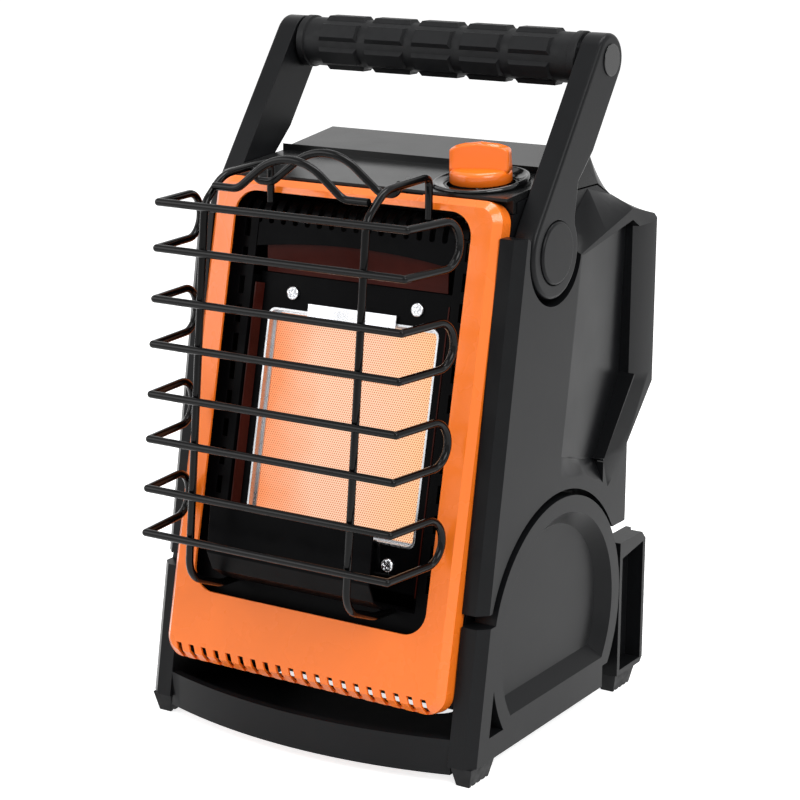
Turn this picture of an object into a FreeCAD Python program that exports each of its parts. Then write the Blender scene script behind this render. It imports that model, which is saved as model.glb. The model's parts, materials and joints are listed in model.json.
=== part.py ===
"""Portable propane heater: a tilting burner head on a moulded base, with a folding carry handle.

Millimetres. X is to the heater's right as seen from the front, Y to the back, Z up.
Sketches are drawn about the tilt axis plane, and origin_back moves every piece so that
the whole heater is centred over the origin, with its feet on Z = 0.
"""
import FreeCAD
import Part
import math
import os

from FreeCAD import Placement, Rotation, Vector

SIZES = [
    # overall stance
    ("origin_back", 15.2, "moves the tilt-axis frame so that the heater is centred on the origin"),
    ("half_width", 110.0, "half the width over the base side frames"),
    ("floor_gap", 11.7, "underside of the base frame above the floor"),
    ("lean", 9.85, "degrees that the posts and pillars lean back"),
    ("post_foot_back", -100.4, "front face of the base posts at their underside"),
    # tilt joint
    ("axis_back", -4.0, "tilt axis, front to back"),
    ("axis_up", 67.0, "tilt axis above the floor"),
    ("tilt_pin_radius", 6.0, "tilt pin"),
    ("pin_play", 0.05, "radial play of every pin in its bore"),
    # base frame
    ("side_inner", 96.5, "inner face of the base side frames"),
    ("web", 3.5, "web of the base side frames"),
    ("post_inner", 94.8, "inner face of the base front posts"),
    ("post_top_up", 88.0, "top of the base front posts"),
    ("post_depth", 16.4, "base front post, front to back"),
    ("post_chamfer", 5.5, "bevel on the outer front corner of posts and pillars"),
    ("disc_radius", 75.0, "round side drum"),
    ("disc_rim", 9.5, "rim round the recess of the side drum"),
    ("disc_flat_up", 25.0, "flat underside of the side drum"),
    ("disc_recess", 7.5, "depth of the recess in the side drum"),
    ("disc_slope", 8.0, "width of the sloping wall of that recess"),
    ("rear_post_back", 105.0, "rear face of the base"),
    ("rear_post_front", 71.5, "front wall of the base rear posts"),
    ("rear_post_up", 95.5, "top of the base rear posts"),
    ("rear_post_wall", 3.2, "walls of the open rear posts"),
    ("bar_low", 6.0, "underside of the bowed front bar"),
    ("bar_high", 26.5, "top of the bowed front bar"),
    ("bar_bow", 15.5, "how far the front bar bows forward"),
    ("bar_wall", 5.0, "thickness of the front bar"),
    ("pan_up", 13.0, "underside of the floor pan"),
    ("pan_thick", 3.0, "floor pan"),
    ("rear_bar_up", 38.0, "top of the rear cross bar"),
    # feet
    ("foot_wide", 13.6, "foot across X at the top"),
    ("foot_long", 26.0, "foot along Y at the top"),
    ("foot_taper", 2.6, "how far each foot side slopes in"),
    ("foot_inset", 1.2, "foot from the outer face of the base"),
    ("tread_wide", 2.4, "tread groove width"),
    ("tread_deep", 1.4, "tread groove depth"),
    ("tread_pitch", 5.0, "tread groove spacing"),
    # tilting head: side housings
    ("head_gap", 7.0, "gap between base posts and head pillars"),
    ("head_half", 108.4, "half the width over the side housings"),
    ("head_inner", 94.4, "inner face of the side housings"),
    ("pillar_top_up", 295.0, "top of the head pillars"),
    ("arch_gap", 3.5, "gap between side drum and the arch over it"),
    ("head_rear", 109.6, "rear face of the side housings"),
    ("neck_rear", 79.0, "rear face of the head's narrow neck"),
    ("neck_low_up", 108.0, "underside of the neck behind the drum"),
    ("neck_top_up", 155.4, "where the neck starts to slope out"),
    ("head_rear_low_up", 187.3, "foot of the head's rear face"),
    ("shoulder_up", 285.4, "rear shoulder of the side housings"),
    ("panel_recess", 9.6, "depth of the sculpted side panel at its rear"),
    ("panel_step", 4.0, "depth of the sloping band behind it"),
    # handle joint
    ("hinge_back", -14.0, "handle hinge, front to back"),
    ("hinge_up", 283.0, "handle hinge above the floor"),
    ("arm_inner", 95.1, "inner face of the handle arms"),
    ("arm_outer", 108.6, "outer face of the handle arms"),
    ("arm_end_radius", 25.8, "rounded lower end of the arms"),
    ("arm_top_radius", 14.7, "rounded upper end of the arms"),
    ("pocket_radius", 29.4, "round pocket for the arm end"),
    ("hinge_radius", 5.0, "handle hinge pin"),
    ("boss_radius", 17.4, "round cap over the hinge"),
    ("boss_proud", 1.4, "how far that cap stands proud"),
    ("grip_back", 44.5, "grip axis, front to back"),
    ("grip_up", 382.3, "grip axis above the floor"),
    ("grip_bolt_radius", 4.0, "bolt through arm and grip"),
    ("grip_cap_radius", 9.0, "cap over the grip bolt"),
    ("grip_core_radius", 10.0, "grip tube"),
    ("grip_radius", 14.2, "grip sleeve"),
    ("grip_pad_high", 1.6, "raised grip pads"),
    ("grip_pad_long", 26.5, "grip pad along X"),
    ("grip_pad_pitch", 32.0, "grip pad spacing"),
    ("grip_end", 93.2, "half the length of the grip sleeve"),
    # front panel
    ("panel_back", -76.0, "face of the front panel at its datum height"),
    ("panel_up", 190.0, "datum height of the front panel"),
    ("panel_lean", 12.0, "degrees that the front panel leans back"),
    ("panel_half", 94.0, "half the width of the front panel"),
    ("panel_low", -152.0, "lower edge of the front panel, from its datum"),
    ("panel_high", 127.0, "upper edge of the front panel, from its datum"),
    ("panel_deep", 13.0, "depth of the panel's turned edges"),
    ("panel_sheet", 1.6, "sheet of the front panel"),
    ("panel_edge", 4.0, "bevel of the panel's turned edges"),
    ("panel_corner", 12.0, "corner radius of the front panel"),
    ("window_half", 78.0, "half the width of the panel window"),
    ("window_low", -111.0, "lower edge of the window"),
    ("window_high", 119.5, "upper edge of the window"),
    ("window_corner", 14.0, "corner radius of the window"),
    ("apron_slot_pitch", 8.7, "spacing of the slanted apron slots"),
    # burner
    ("tile_half", 55.5, "half the width of the ceramic tile"),
    ("tile_low", -65.5, "lower edge of the tile"),
    ("tile_high", 53.5, "upper edge of the tile"),
    ("tile_deep", 13.0, "thickness of the tile"),
    ("burner_face", 20.5, "tile face behind the front panel"),
    ("plate_back", 15.0, "burner plate behind the front panel"),
    ("plate_high", 74.5, "upper edge of the burner plate"),
    ("liner_back", 8.0, "chamber liner and louvre cover behind the front panel"),
    ("liner_half", 66.0, "half the width of the heat chamber"),
    ("liner_low", -100.0, "lower edge of the heat chamber"),
    ("liner_sheet", 1.0, "sheet of the chamber liner"),
    ("cover_low", 88.6, "lower edge of the louvre cover at its ends"),
    ("cover_arch", 4.9, "rise of that edge to the middle"),
    ("cover_bend_up", 105.4, "foot of the cover's bend"),
    ("cover_bend", 13.0, "radius of that bend"),
    ("louvre_pitch", 8.2, "spacing of the cover's slots"),
    ("louvre_wide", 3.4, "width of those slots"),
    ("screw_side", 41.6, "burner screws from the centre line"),
    ("screw_above", 10.7, "upper burner screws above the tile"),
    ("screw_below", 12.5, "lower burner screws below the tile"),
    # guard
    ("wire", 4.3, "guard wire diameter"),
    ("guard_half", 79.8, "half the width of the guard hoops"),
    ("guard_lean", 5.4, "degrees that the guard leans back"),
    ("guard_back", -138.0, "lowest guard wire, front to back"),
    ("guard_up", 124.7, "lowest guard wire above the floor"),
    ("hoop_high", 25.0, "height of a hoop, wire to wire"),
    ("hoop_pitch", 52.8, "spacing of the hoops"),
    ("hoop_deep", 45.0, "depth of the hoops"),
    ("hoop_splay", 5.0, "how far the hoop ends spread"),
    ("shield_low", 92.5, "underside of the front shield"),
    ("rail_side", 52.0, "upright guard wires from the centre line"),
    # top and controls
    ("deck_front_up", 315.0, "front of the control deck"),
    ("deck_rise", 4.8, "rise of the deck to its step"),
    ("step_back", 16.5, "step between deck and lid"),
    ("step_high", 4.0, "height of that step"),
    ("lid_rear_back", 60.0, "rear edge of the lid"),
    ("lid_rear_up", 329.7, "rear edge of the lid above the floor"),
    ("knob_side", 61.0, "knob axis from the centre line"),
    ("knob_back", -14.6, "knob axis, front to back"),
    ("knob_radius", 17.1, "knob skirt"),
    ("knob_skirt", 4.6, "height of the knob skirt"),
    ("knob_high", 21.5, "knob height"),
    ("collar_outer", 27.6, "collar round the knob"),
    ("collar_inner", 20.3, "bore of that collar"),
    ("collar_high", 5.2, "height of the collar"),
    ("push_travel", 3.0, "how far the knob is pushed in to light"),
    # fuel bay
    ("bay_half", 57.0, "half the width of the fuel bay opening"),
    ("bay_low", 62.0, "bottom of the fuel bay opening"),
    ("bay_high", 268.0, "top of the fuel bay opening"),
    ("bay_rear", 107.0, "rear face of the fuel door"),
    ("wall", 3.0, "moulded walls"),
    ("door_gap", 0.7, "gap round the fuel door"),
    ("door_axis_side", 53.2, "hinge of the fuel door from the centre line"),
    ("door_axis_back", 104.0, "hinge of the fuel door, front to back"),
    ("knuckle_radius", 3.0, "knuckles of the fuel door"),
    ("door_pin_radius", 1.3, "hinge pin of the fuel door"),
    ("lug_low_up", 100.0, "lower hinge lug"),
    ("lug_high_up", 222.0, "upper hinge lug"),
    ("lug_high", 8.0, "height of a hinge lug"),
    ("latch_up", 205.0, "middle of the door latch"),
    ("latch_travel", 2.6, "travel of the door latch"),
    ("tube_radius", 2.4, "gas tube"),
    ("mixing_radius", 5.5, "mixing tube"),
    ("stem_radius", 3.0, "valve stem"),
    ("stem_long", 36.0, "valve stem, end to end"),
    ("valve_radius", 9.0, "barrel of the gas valve"),
    ("knob_turn", 16.0, "degrees that the knob's bar stands off square at rest"),
    ("regulator_back", 52.0, "axis of the gas cylinder and regulator, front to back"),
    ("regulator_low_up", 265.0, "underside of the regulator"),
    ("inlet_radius", 12.7, "cylinder thread in the regulator"),
    ("inlet_deep", 16.0, "depth of that thread"),
    ("seal_deep", 2.4, "thickness of the seal above the thread"),
    ("vent_radius", 14.0, "drain openings under the gas cylinder"),
]


class Size:
    """A length taken from the sheet, with the formula that ties it to its cells."""

    def __init__(self, value, text):
        self.value = float(value)
        self.text = text

    def __add__(self, other):
        other = as_size(other)
        return Size(self.value + other.value, f"({self.text} + {other.text})")

    def __radd__(self, other):
        return as_size(other) + self

    def __sub__(self, other):
        other = as_size(other)
        return Size(self.value - other.value, f"({self.text} - {other.text})")

    def __rsub__(self, other):
        return as_size(other) - self

    def __mul__(self, other):
        other = as_size(other)
        return Size(self.value * other.value, f"({self.text} * {other.text})")

    def __rmul__(self, other):
        return as_size(other) * self

    def __truediv__(self, other):
        other = as_size(other)
        return Size(self.value / other.value, f"({self.text} / {other.text})")

    def __neg__(self):
        return Size(-self.value, f"(-1 * {self.text})")

    def __float__(self):
        return self.value


def as_size(number):
    return number if isinstance(number, Size) else Size(number, f"({float(number):.6g})")


def slope_of(degrees):
    """Tangent of an angle held in the sheet as plain degrees."""
    return Size(math.tan(math.radians(degrees.value)), f"tan({degrees.text} * 1 deg)")


def root(number):
    return Size(math.sqrt(number.value), f"sqrt({number.text})")


def around(back, up, radius, degrees):
    """The point of a circle at an angle counted from the back, turning up."""
    angle = math.radians(degrees)
    along = Size(math.cos(angle), f"cos({degrees:.6g} deg)")
    rise = Size(math.sin(angle), f"sin({degrees:.6g} deg)")
    return back + along * radius, up + rise * radius


class Sizes:
    """The sheet's cells as attributes."""

    def __init__(self, doc):
        sheet = doc.addObject("Spreadsheet::Sheet", "Sizes")
        for row, (name, value, note) in enumerate(SIZES, start=1):
            sheet.set(f"A{row}", str(value))
            sheet.setAlias(f"A{row}", name)
            sheet.set(f"B{row}", note)
            setattr(self, name, Size(value, f"Sizes.{name}"))
        doc.recompute()


DOC = FreeCAD.newDocument("heater")
S = Sizes(DOC)
PIECES = {}


# Helpers: bodies, sketches and features

def bind(thing, prop, size):
    thing.setExpression(prop, as_size(size).text)


def body(label, right=0, back=0, up=0, turn_x=0, turn_z=0):
    """A piece drawn in its own frame, then turned about Z and X and put in its place."""
    made = DOC.addObject("PartDesign::Body", label)
    made.Label = label
    back = S.origin_back + back
    turn = Rotation(Vector(1, 0, 0), float(turn_x)) * Rotation(Vector(0, 0, 1), float(turn_z))
    made.Placement = Placement(Vector(float(right), float(back), float(up)), turn)
    bind(made, "Placement.Base.x", right)
    bind(made, "Placement.Base.y", back)
    bind(made, "Placement.Base.z", up)
    PIECES[label] = made
    return made


def origin_plane(owner, role):
    return next(p for p in owner.Origin.OriginFeatures if p.Role == role)


def arc_between(start, end, radius):
    """The short arc from start to end; a positive radius turns left."""
    chord = end - start
    half = chord.Length / 2
    size = abs(radius)
    if size < half:
        raise ValueError(f"arc radius {size} is under half its chord {half}")
    middle = (start + end) / 2
    left = Vector(-chord.y, chord.x, 0).normalize()
    side = 1 if radius > 0 else -1
    centre = middle + left * side * math.sqrt(size * size - half * half)
    first = math.atan2(start.y - centre.y, start.x - centre.x)
    last = math.atan2(end.y - centre.y, end.x - centre.x)
    circle = Part.Circle(centre, Vector(0, 0, 1), size)
    if radius > 0:
        return Part.ArcOfCircle(circle, first, last), 1, 2
    return Part.ArcOfCircle(circle, last, first), 2, 1


def tie_point(sketch, index, which, corner):
    import Sketcher
    for kind, size in (("DistanceX", corner[0]), ("DistanceY", corner[1])):
        size = as_size(size)
        number = sketch.addConstraint(Sketcher.Constraint(kind, -1, 1, index, which, size.value))
        sketch.setExpression(f"Constraints[{number}]", size.text)


def draw_outline(sketch, outline):
    """Lines and arcs through the corners; every corner and radius follows the sheet."""
    import Sketcher
    points = [Vector(float(c[0]), float(c[1]), 0) for c in outline]
    ends = []
    for i, corner in enumerate(outline):
        start, end = points[i], points[(i + 1) % len(points)]
        if len(corner) > 2:
            curve, first, last = arc_between(start, end, float(corner[2]))
        else:
            curve, first, last = Part.LineSegment(start, end), 1, 2
        ends.append((sketch.addGeometry(curve, False), first, last))
    for i, corner in enumerate(outline):
        index, first, last = ends[i]
        after, after_first, _ = ends[(i + 1) % len(ends)]
        sketch.addConstraint(Sketcher.Constraint("Coincident", index, last, after, after_first))
        tie_point(sketch, index, first, corner)
        if len(corner) > 2:
            radius = as_size(corner[2])
            radius = radius if radius.value > 0 else -radius
            number = sketch.addConstraint(Sketcher.Constraint("Radius", index, radius.value))
            sketch.setExpression(f"Constraints[{number}]", radius.text)


def draw_circle(sketch, across, along, radius):
    import Sketcher
    centre = Vector(float(across), float(along), 0)
    index = sketch.addGeometry(Part.Circle(centre, Vector(0, 0, 1), float(radius)), False)
    tie_point(sketch, index, 3, (across, along))
    number = sketch.addConstraint(Sketcher.Constraint("Radius", index, float(radius)))
    sketch.setExpression(f"Constraints[{number}]", as_size(radius).text)


def sketch_on(owner, role, offset=0, outlines=(), circles=()):
    made = owner.newObject("Sketcher::SketchObject", f"{owner.Name}_sketch")
    made.AttachmentSupport = [(origin_plane(owner, role), "")]
    made.MapMode = "FlatFace"
    made.AttachmentOffset = Placement(Vector(0, 0, float(offset)), Rotation())
    bind(made, "AttachmentOffset.Base.z", offset)
    for outline in outlines:
        draw_outline(made, outline)
    for circle in circles:
        draw_circle(made, *circle)
    return made


def rounded(left, low, right, high, radius):
    """A rectangle with round corners, going round to the left."""
    return [
        (left + radius, low), (right - radius, low, radius),
        (right, low + radius), (right, high - radius, radius),
        (right - radius, high), (left + radius, high, radius),
        (left, high - radius), (left, low + radius, radius),
    ]


def rectangle(left, low, right, high):
    return [(left, low), (right, low), (right, high), (left, high)]


def pad(owner, sketch, length, backward=False, both_ways=False):
    made = owner.newObject("PartDesign::Pad", f"{owner.Name}_pad")
    made.Profile = sketch
    made.Length = float(length)
    bind(made, "Length", length)
    made.Reversed = backward
    made.Midplane = both_ways
    DOC.recompute()
    return made


def pocket(owner, sketch, length, backward=False, both_ways=False):
    before = owner.Shape.Volume
    made = owner.newObject("PartDesign::Pocket", f"{owner.Name}_pocket")
    made.Profile = sketch
    made.Length = float(length)
    bind(made, "Length", length)
    made.Reversed = backward
    made.Midplane = both_ways
    DOC.recompute()
    if owner.Shape.Volume > before - 0.01:
        raise ValueError(f"a pocket of {owner.Label} cuts nothing")
    return made


def repeat(owner, feature, sketch, axis, length, count):
    made = owner.newObject("PartDesign::LinearPattern", f"{owner.Name}_row")
    made.Originals = [feature]
    made.Direction = (sketch, [axis])
    made.Length = float(length)
    bind(made, "Length", length)
    made.Occurrences = count
    owner.Tip = made
    DOC.recompute()
    return made


def loft(owner, first, second, cut=False):
    before = owner.Shape.Volume if cut else 0
    kind = "PartDesign::SubtractiveLoft" if cut else "PartDesign::AdditiveLoft"
    made = owner.newObject(kind, f"{owner.Name}_loft")
    made.Profile = first
    made.Sections = [second]
    made.Ruled = True
    DOC.recompute()
    if cut and owner.Shape.Volume > before - 0.01:
        raise ValueError(f"a loft cut of {owner.Label} cuts nothing")
    return made


def revolve(owner, sketch, axis="V_Axis"):
    made = owner.newObject("PartDesign::Revolution", f"{owner.Name}_revolution")
    made.Profile = sketch
    made.ReferenceAxis = (sketch, [axis])
    made.Angle = 360.0
    DOC.recompute()
    return made


def dress(owner, kind, size, wanted):
    """Fillet or chamfer the edges of the body that the test picks out."""
    tip = owner.Tip
    names = [f"Edge{i + 1}" for i, edge in enumerate(tip.Shape.Edges) if wanted(edge)]
    if not names:
        raise ValueError(f"no edge to dress on {owner.Label}")
    made = owner.newObject(f"PartDesign::{kind}", f"{owner.Name}_{kind.lower()}")
    made.Base = (tip, names)
    prop = "Radius" if kind == "Fillet" else "Size"
    setattr(made, prop, float(size))
    bind(made, prop, size)
    DOC.recompute()
    return made


def hollow_out(owner, wall, wanted):
    """Leave only a wall inside the body, open at the faces that the test picks out."""
    tip = owner.Tip
    names = [f"Face{i + 1}" for i, face in enumerate(tip.Shape.Faces) if wanted(face)]
    made = owner.newObject("PartDesign::Thickness", f"{owner.Name}_wall")
    made.Base = (tip, names)
    made.Value = float(wall)
    bind(made, "Value", wall)
    made.Reversed = True
    DOC.recompute()
    if owner.Shape.Volume > tip.Shape.Volume * 0.9:
        raise ValueError(f"{owner.Label} is not hollow")
    return made


def edge_middle(edge):
    """Middle of an edge in the body's own frame."""
    return edge.valueAt((edge.FirstParameter + edge.LastParameter) / 2)


def lines_along(edge, direction):
    if edge.Curve.TypeId != "Part::GeomLine":
        return False
    return abs(edge.tangentAt(edge.FirstParameter).dot(direction)) > 0.999


def free_shape(label, shape):
    """A piece that no sketch gives: its shape is worked out from the sheet's sizes."""
    made = DOC.addObject("Part::Feature", label)
    made.Label = label
    made.Shape = shape
    made.Placement = Placement(Vector(0, float(S.origin_back), 0), Rotation())
    PIECES[label] = made
    return made


# Places that several pieces share

def post_face(up):
    """Front plane of the base posts and head pillars at a height."""
    return S.post_foot_back + (up - S.floor_gap) * slope_of(S.lean)


def drum_point(radius, up, front=False):
    """Point of a circle about the tilt axis at a height, behind or before the axis."""
    reach = root(radius * radius - (up - S.axis_up) * (up - S.axis_up))
    return (S.axis_back - reach, up) if front else (S.axis_back + reach, up)


def drum_outline(radius, flat_up):
    """A round drum with a flat underside, as two arcs and a line."""
    front = drum_point(radius, flat_up, front=True)
    rear = drum_point(radius, flat_up)
    return [front, (*rear, radius), (S.axis_back, S.axis_up + radius, radius)]


def side_pad(owner, side, inner, outer, outlines, circles=()):
    """A slab between two distances from the centre line, on the right (1) or left (-1)."""
    sketch = sketch_on(owner, "YZ_Plane", inner * side, outlines, circles)
    return pad(owner, sketch, outer - inner, backward=side < 0)


def side_cut(owner, side, inner, outer, outlines=(), circles=()):
    sketch = sketch_on(owner, "YZ_Plane", outer * side, outlines, circles)
    return pocket(owner, sketch, outer - inner, backward=side < 0)


# The base

def base_frame():
    made = body("base_frame")
    pan_side = S.side_inner + 1
    pan = sketch_on(made, "XY_Plane", S.pan_up, [
        rectangle(-pan_side, -92, pan_side, 97),
        rounded(-62, -48, 62, 70, 12),
    ])
    pad(made, pan, S.pan_thick)
    for side in (1, -1):
        base_side(made, side)
    front_bar(made)
    rear_bar = sketch_on(made, "XY_Plane", S.floor_gap, [
        rectangle(-pan_side, 97, pan_side, 101),
    ])
    pad(made, rear_bar, S.rear_bar_up - S.floor_gap)
    return made


def base_side(made, side):
    side_pad(made, side, S.side_inner, S.side_inner + S.web, [web_outline()])
    top = S.post_top_up
    front_post = [
        (post_face(S.floor_gap), S.floor_gap),
        (post_face(S.floor_gap) + S.post_depth, S.floor_gap),
        (post_face(top) + S.post_depth, top),
        (post_face(top), top),
    ]
    side_pad(made, side, S.post_inner, S.half_width, [front_post])
    dress(made, "Chamfer", S.post_chamfer, lambda edge: is_post_corner(edge, side))
    drum = drum_outline(S.disc_radius, S.disc_flat_up)
    side_pad(made, side, S.side_inner, S.half_width, [drum])
    drum_recess(made, side)
    rail = [
        (post_face(S.floor_gap) + S.post_depth, S.floor_gap),
        (52, S.floor_gap),
        (52, S.disc_flat_up),
        (post_face(S.disc_flat_up) + S.post_depth, S.disc_flat_up),
    ]
    side_pad(made, side, S.side_inner, S.half_width, [rail])
    rear_post(made, side)
    arch = [(53, 11), (71.5, 11), (71.5, 15.7, 9.25), (62.25, 24.95, 9.25), (53, 15.7)]
    side_cut(made, side, S.side_inner, S.half_width, [arch])
    pin_seat = [(S.axis_back, S.axis_up, S.tilt_pin_radius)]
    seat = sketch_on(made, "YZ_Plane", S.side_inner * side, circles=pin_seat)
    pocket(made, seat, 4, backward=side > 0)


def web_outline():
    behind_up = S.rear_post_up - 15
    return [
        (post_face(S.floor_gap), S.floor_gap),
        (S.rear_post_back, S.floor_gap),
        (S.rear_post_back, S.rear_post_up),
        (S.rear_post_front, S.rear_post_up),
        (S.rear_post_front, behind_up),
        (*drum_point(S.disc_radius, behind_up), S.disc_radius),
        drum_point(S.disc_radius, S.post_top_up, front=True),
        (post_face(S.post_top_up), S.post_top_up),
    ]


def is_post_corner(edge, side):
    middle = edge_middle(edge)
    half_up = (S.floor_gap.value + S.post_top_up.value) / 2
    on_face = abs(middle.y - post_face(as_size(half_up)).value) < 0.5
    return on_face and abs(middle.x - side * S.half_width.value) < 0.1 and abs(middle.z - half_up) < 1


def drum_recess(made, side):
    """The D-shaped recess with sloping walls in the outer face of the drum."""
    inner_radius = S.disc_radius - S.disc_rim
    flat = S.disc_flat_up + S.disc_rim * 0.6
    mouth = sketch_on(made, "YZ_Plane", S.half_width * side, [drum_outline(inner_radius, flat)])
    floor = drum_outline(inner_radius - S.disc_slope, flat + S.disc_slope)
    bottom = sketch_on(made, "YZ_Plane", (S.half_width - S.disc_recess) * side, [floor])
    loft(made, mouth, bottom, cut=True)


def rear_post(made, side):
    low, high = S.floor_gap, S.rear_post_up
    front, back, thick = S.rear_post_front, S.rear_post_back, S.rear_post_wall
    block = [(front, low), (back - 3, low), (back, low + 3), (back, high - 5), (back - 5, high), (front, high)]
    side_pad(made, side, S.side_inner, S.half_width, [block])
    hollow = [
        (front + thick, low + thick), (back - thick, low + thick),
        (back - thick, high - thick - 3), (front + thick, high - thick - 7),
    ]
    side_cut(made, side, S.side_inner + S.web, S.half_width, [hollow])


def front_bar(made):
    """The bowed bar that joins the two front posts."""
    end = S.post_inner + 0.3
    line = post_face(S.bar_high)
    radius = (end * end + S.bar_bow * S.bar_bow) / (2 * S.bar_bow)
    band = [
        (-end, line, radius), (end, line),
        (end, line + S.bar_wall, -radius), (-end, line + S.bar_wall),
    ]
    sketch = sketch_on(made, "XY_Plane", S.bar_low, [band])
    pad(made, sketch, S.bar_high - S.bar_low)


def foot(label, side, back):
    """A tapered rubber foot with tread grooves across its underside."""
    made = body(label, side * (S.half_width - S.foot_inset - S.foot_wide / 2), back, S.floor_gap)
    wide, long_, slant = S.foot_wide / 2, S.foot_long / 2, S.foot_taper
    top = sketch_on(made, "XY_Plane", 0, [rectangle(-wide, -long_, wide, long_)])
    ground = rectangle(-(wide - slant), -(long_ - slant), wide - slant, long_ - slant)
    bottom = sketch_on(made, "XY_Plane", -S.floor_gap, [ground])
    loft(made, top, bottom)
    first = -1.5 * S.tread_pitch
    half = S.tread_wide / 2
    groove = [(first - half, -S.floor_gap), (first + half, -S.floor_gap), (first, S.tread_deep - S.floor_gap)]
    sketch = sketch_on(made, "YZ_Plane", 0, [groove])
    cut = pocket(made, sketch, S.foot_wide + 2, both_ways=True)
    repeat(made, cut, sketch, "H_Axis", 3 * S.tread_pitch, 4)
    return made


def feet():
    front = post_face(S.floor_gap) + S.foot_long / 2 + 1.8
    rear = S.rear_post_front + S.foot_long / 2 + 0.4
    for side, name in ((-1, "left"), (1, "right")):
        foot(f"foot_front_{name}", side, front)
        foot(f"foot_rear_{name}", side, rear)


def tilt_pins():
    length = as_size(14.5)
    for side, name in ((-1, "left"), (1, "right")):
        middle = (S.side_inner + 4 - length / 2) * side
        made = body(f"tilt_pin_{name}", middle, S.axis_back, S.axis_up)
        sketch = sketch_on(made, "YZ_Plane", circles=[(0, 0, S.tilt_pin_radius)])
        pad(made, sketch, length, both_ways=True)


# The tilting head: housings

def main_housing():
    """The inner moulding: floor, cheeks, bulkhead and the walls of the fuel bay."""
    made = body("main_housing")
    half = S.head_inner - 0.1
    wall = S.wall
    outer = [
        (-88, 60), (-80, 36), (-40, 26), (40, 26), (72, 58), (76, 66), (76, S.neck_top_up),
        (106, S.head_rear_low_up), (106, 286), (80, 300.4),
    ]
    inner = [
        (78.5, 297.8), (106 - wall, 284.2), (106 - wall, S.head_rear_low_up + 1.3),
        (76 - wall, S.neck_top_up + 1.3), (76 - wall, 67), (69.6, 60), (38.7, 26 + wall),
        (-39.6, 26 + wall), (-77.6, 38.4), (-84.9, 60),
    ]
    shell = sketch_on(made, "YZ_Plane", 0, [outer + inner])
    pad(made, shell, half * 2, both_ways=True)
    for side in (1, -1):
        cheek = [
            (-88, 60), (-80, 36), (-40, 26), (40, 26), (72, 58), (76, 66), (76, S.neck_top_up),
            (106, S.head_rear_low_up), (106, 286), (80, 300), (59.4, 309.6), (16, 309.6),
            (16, S.deck_front_up + S.deck_rise - wall - 0.6), (-32.6, S.deck_front_up - wall - 0.4),
            (-32.6, 305.6), (-37.4, 305.6), (-39.5, 296),
        ]
        side_pad(made, side, half - wall, half, [cheek])
        bosses = [(*spot[:2], spot[2] + 5) for spot in pin_spots()]
        side_pad(made, side, half - 9, half, [], bosses)
    bulkhead = sketch_on(made, "YZ_Plane", 0, [rectangle(-1, 27, -1 + wall, 314.5)])
    pad(made, bulkhead, half * 2 - 1, both_ways=True)
    bores = [(*spot[:2], spot[2] + S.pin_play) for spot in pin_spots()]
    for side in (1, -1):
        side_cut(made, side, half - 9, half, [], bores)
    shelf = sketch_on(made, "YZ_Plane", 0, [rectangle(1, 300, 77.4, 300 + wall)])
    pad(made, shelf, 70, both_ways=True)
    passage = sketch_on(made, "XZ_Plane", 5, circles=[(S.knob_side, 288, S.tube_radius + 1)])
    pocket(made, passage, 10)
    fuel_bay(made)
    gas_vents(made)
    door_lugs(made)
    return made


def pin_spots():
    """Places and radii of the tilt pin and the handle's hinge pin."""
    return [
        (S.axis_back, S.axis_up, S.tilt_pin_radius),
        (S.hinge_back, S.hinge_up, S.hinge_radius),
    ]


def gas_vents(made):
    """Openings in the floor under the gas cylinder, where leaked gas drains away."""
    middle = sketch_on(made, "XY_Plane", 20, circles=[
        (across, S.regulator_back, S.vent_radius) for across in (-34, 0, 34)
    ])
    pocket(made, middle, 45, backward=True)


def fuel_bay(made):
    """The housing of the gas cylinder between the rear posts, and its door opening."""
    wall = S.wall
    side = S.bay_half + 5
    tunnel = [
        (-side, 73), (wall - side, 73), (wall - side, S.bay_rear), (-side, S.bay_rear),
    ]
    mirrored = [(-across, back) for across, back in reversed(tunnel)]
    walls = sketch_on(made, "XY_Plane", S.bay_low - 1, [tunnel, mirrored])
    pad(made, walls, S.head_rear_low_up + 4 - S.bay_low)
    floor = sketch_on(made, "XY_Plane", S.bay_low - 4, [rectangle(-side, 70, side, S.bay_rear)])
    pad(made, floor, wall)
    left, right, corner = -S.bay_half - S.door_gap / 2, S.bay_half, 8
    opening = [
        (left, S.bay_low), (right - corner, S.bay_low, corner), (right, S.bay_low + corner),
        (right, S.bay_high - corner, corner), (right - corner, S.bay_high), (left, S.bay_high),
    ]
    mouth = sketch_on(made, "XZ_Plane", -110, [opening])
    pocket(made, mouth, 40, backward=True)


def door_lugs(made):
    """Two lugs on the left bay wall that hold the pin of the fuel door."""
    across, back, radius = -S.door_axis_side, S.door_axis_back, S.knuckle_radius
    arm = [
        (-S.bay_half - 3, back - radius), (across, back - radius, radius),
        (across + radius, back, radius), (across, back + radius), (-S.bay_half - 3, back + radius),
    ]
    for low in (S.lug_low_up, S.lug_high_up):
        sketch = sketch_on(made, "XY_Plane", low, [arm])
        pad(made, sketch, S.lug_high)
    bore = sketch_on(made, "XY_Plane", 0, circles=[(across, back, S.door_pin_radius)])
    pocket(made, bore, S.bay_high, backward=True)


def arch_radius():
    return S.disc_radius + S.arch_gap


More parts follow.
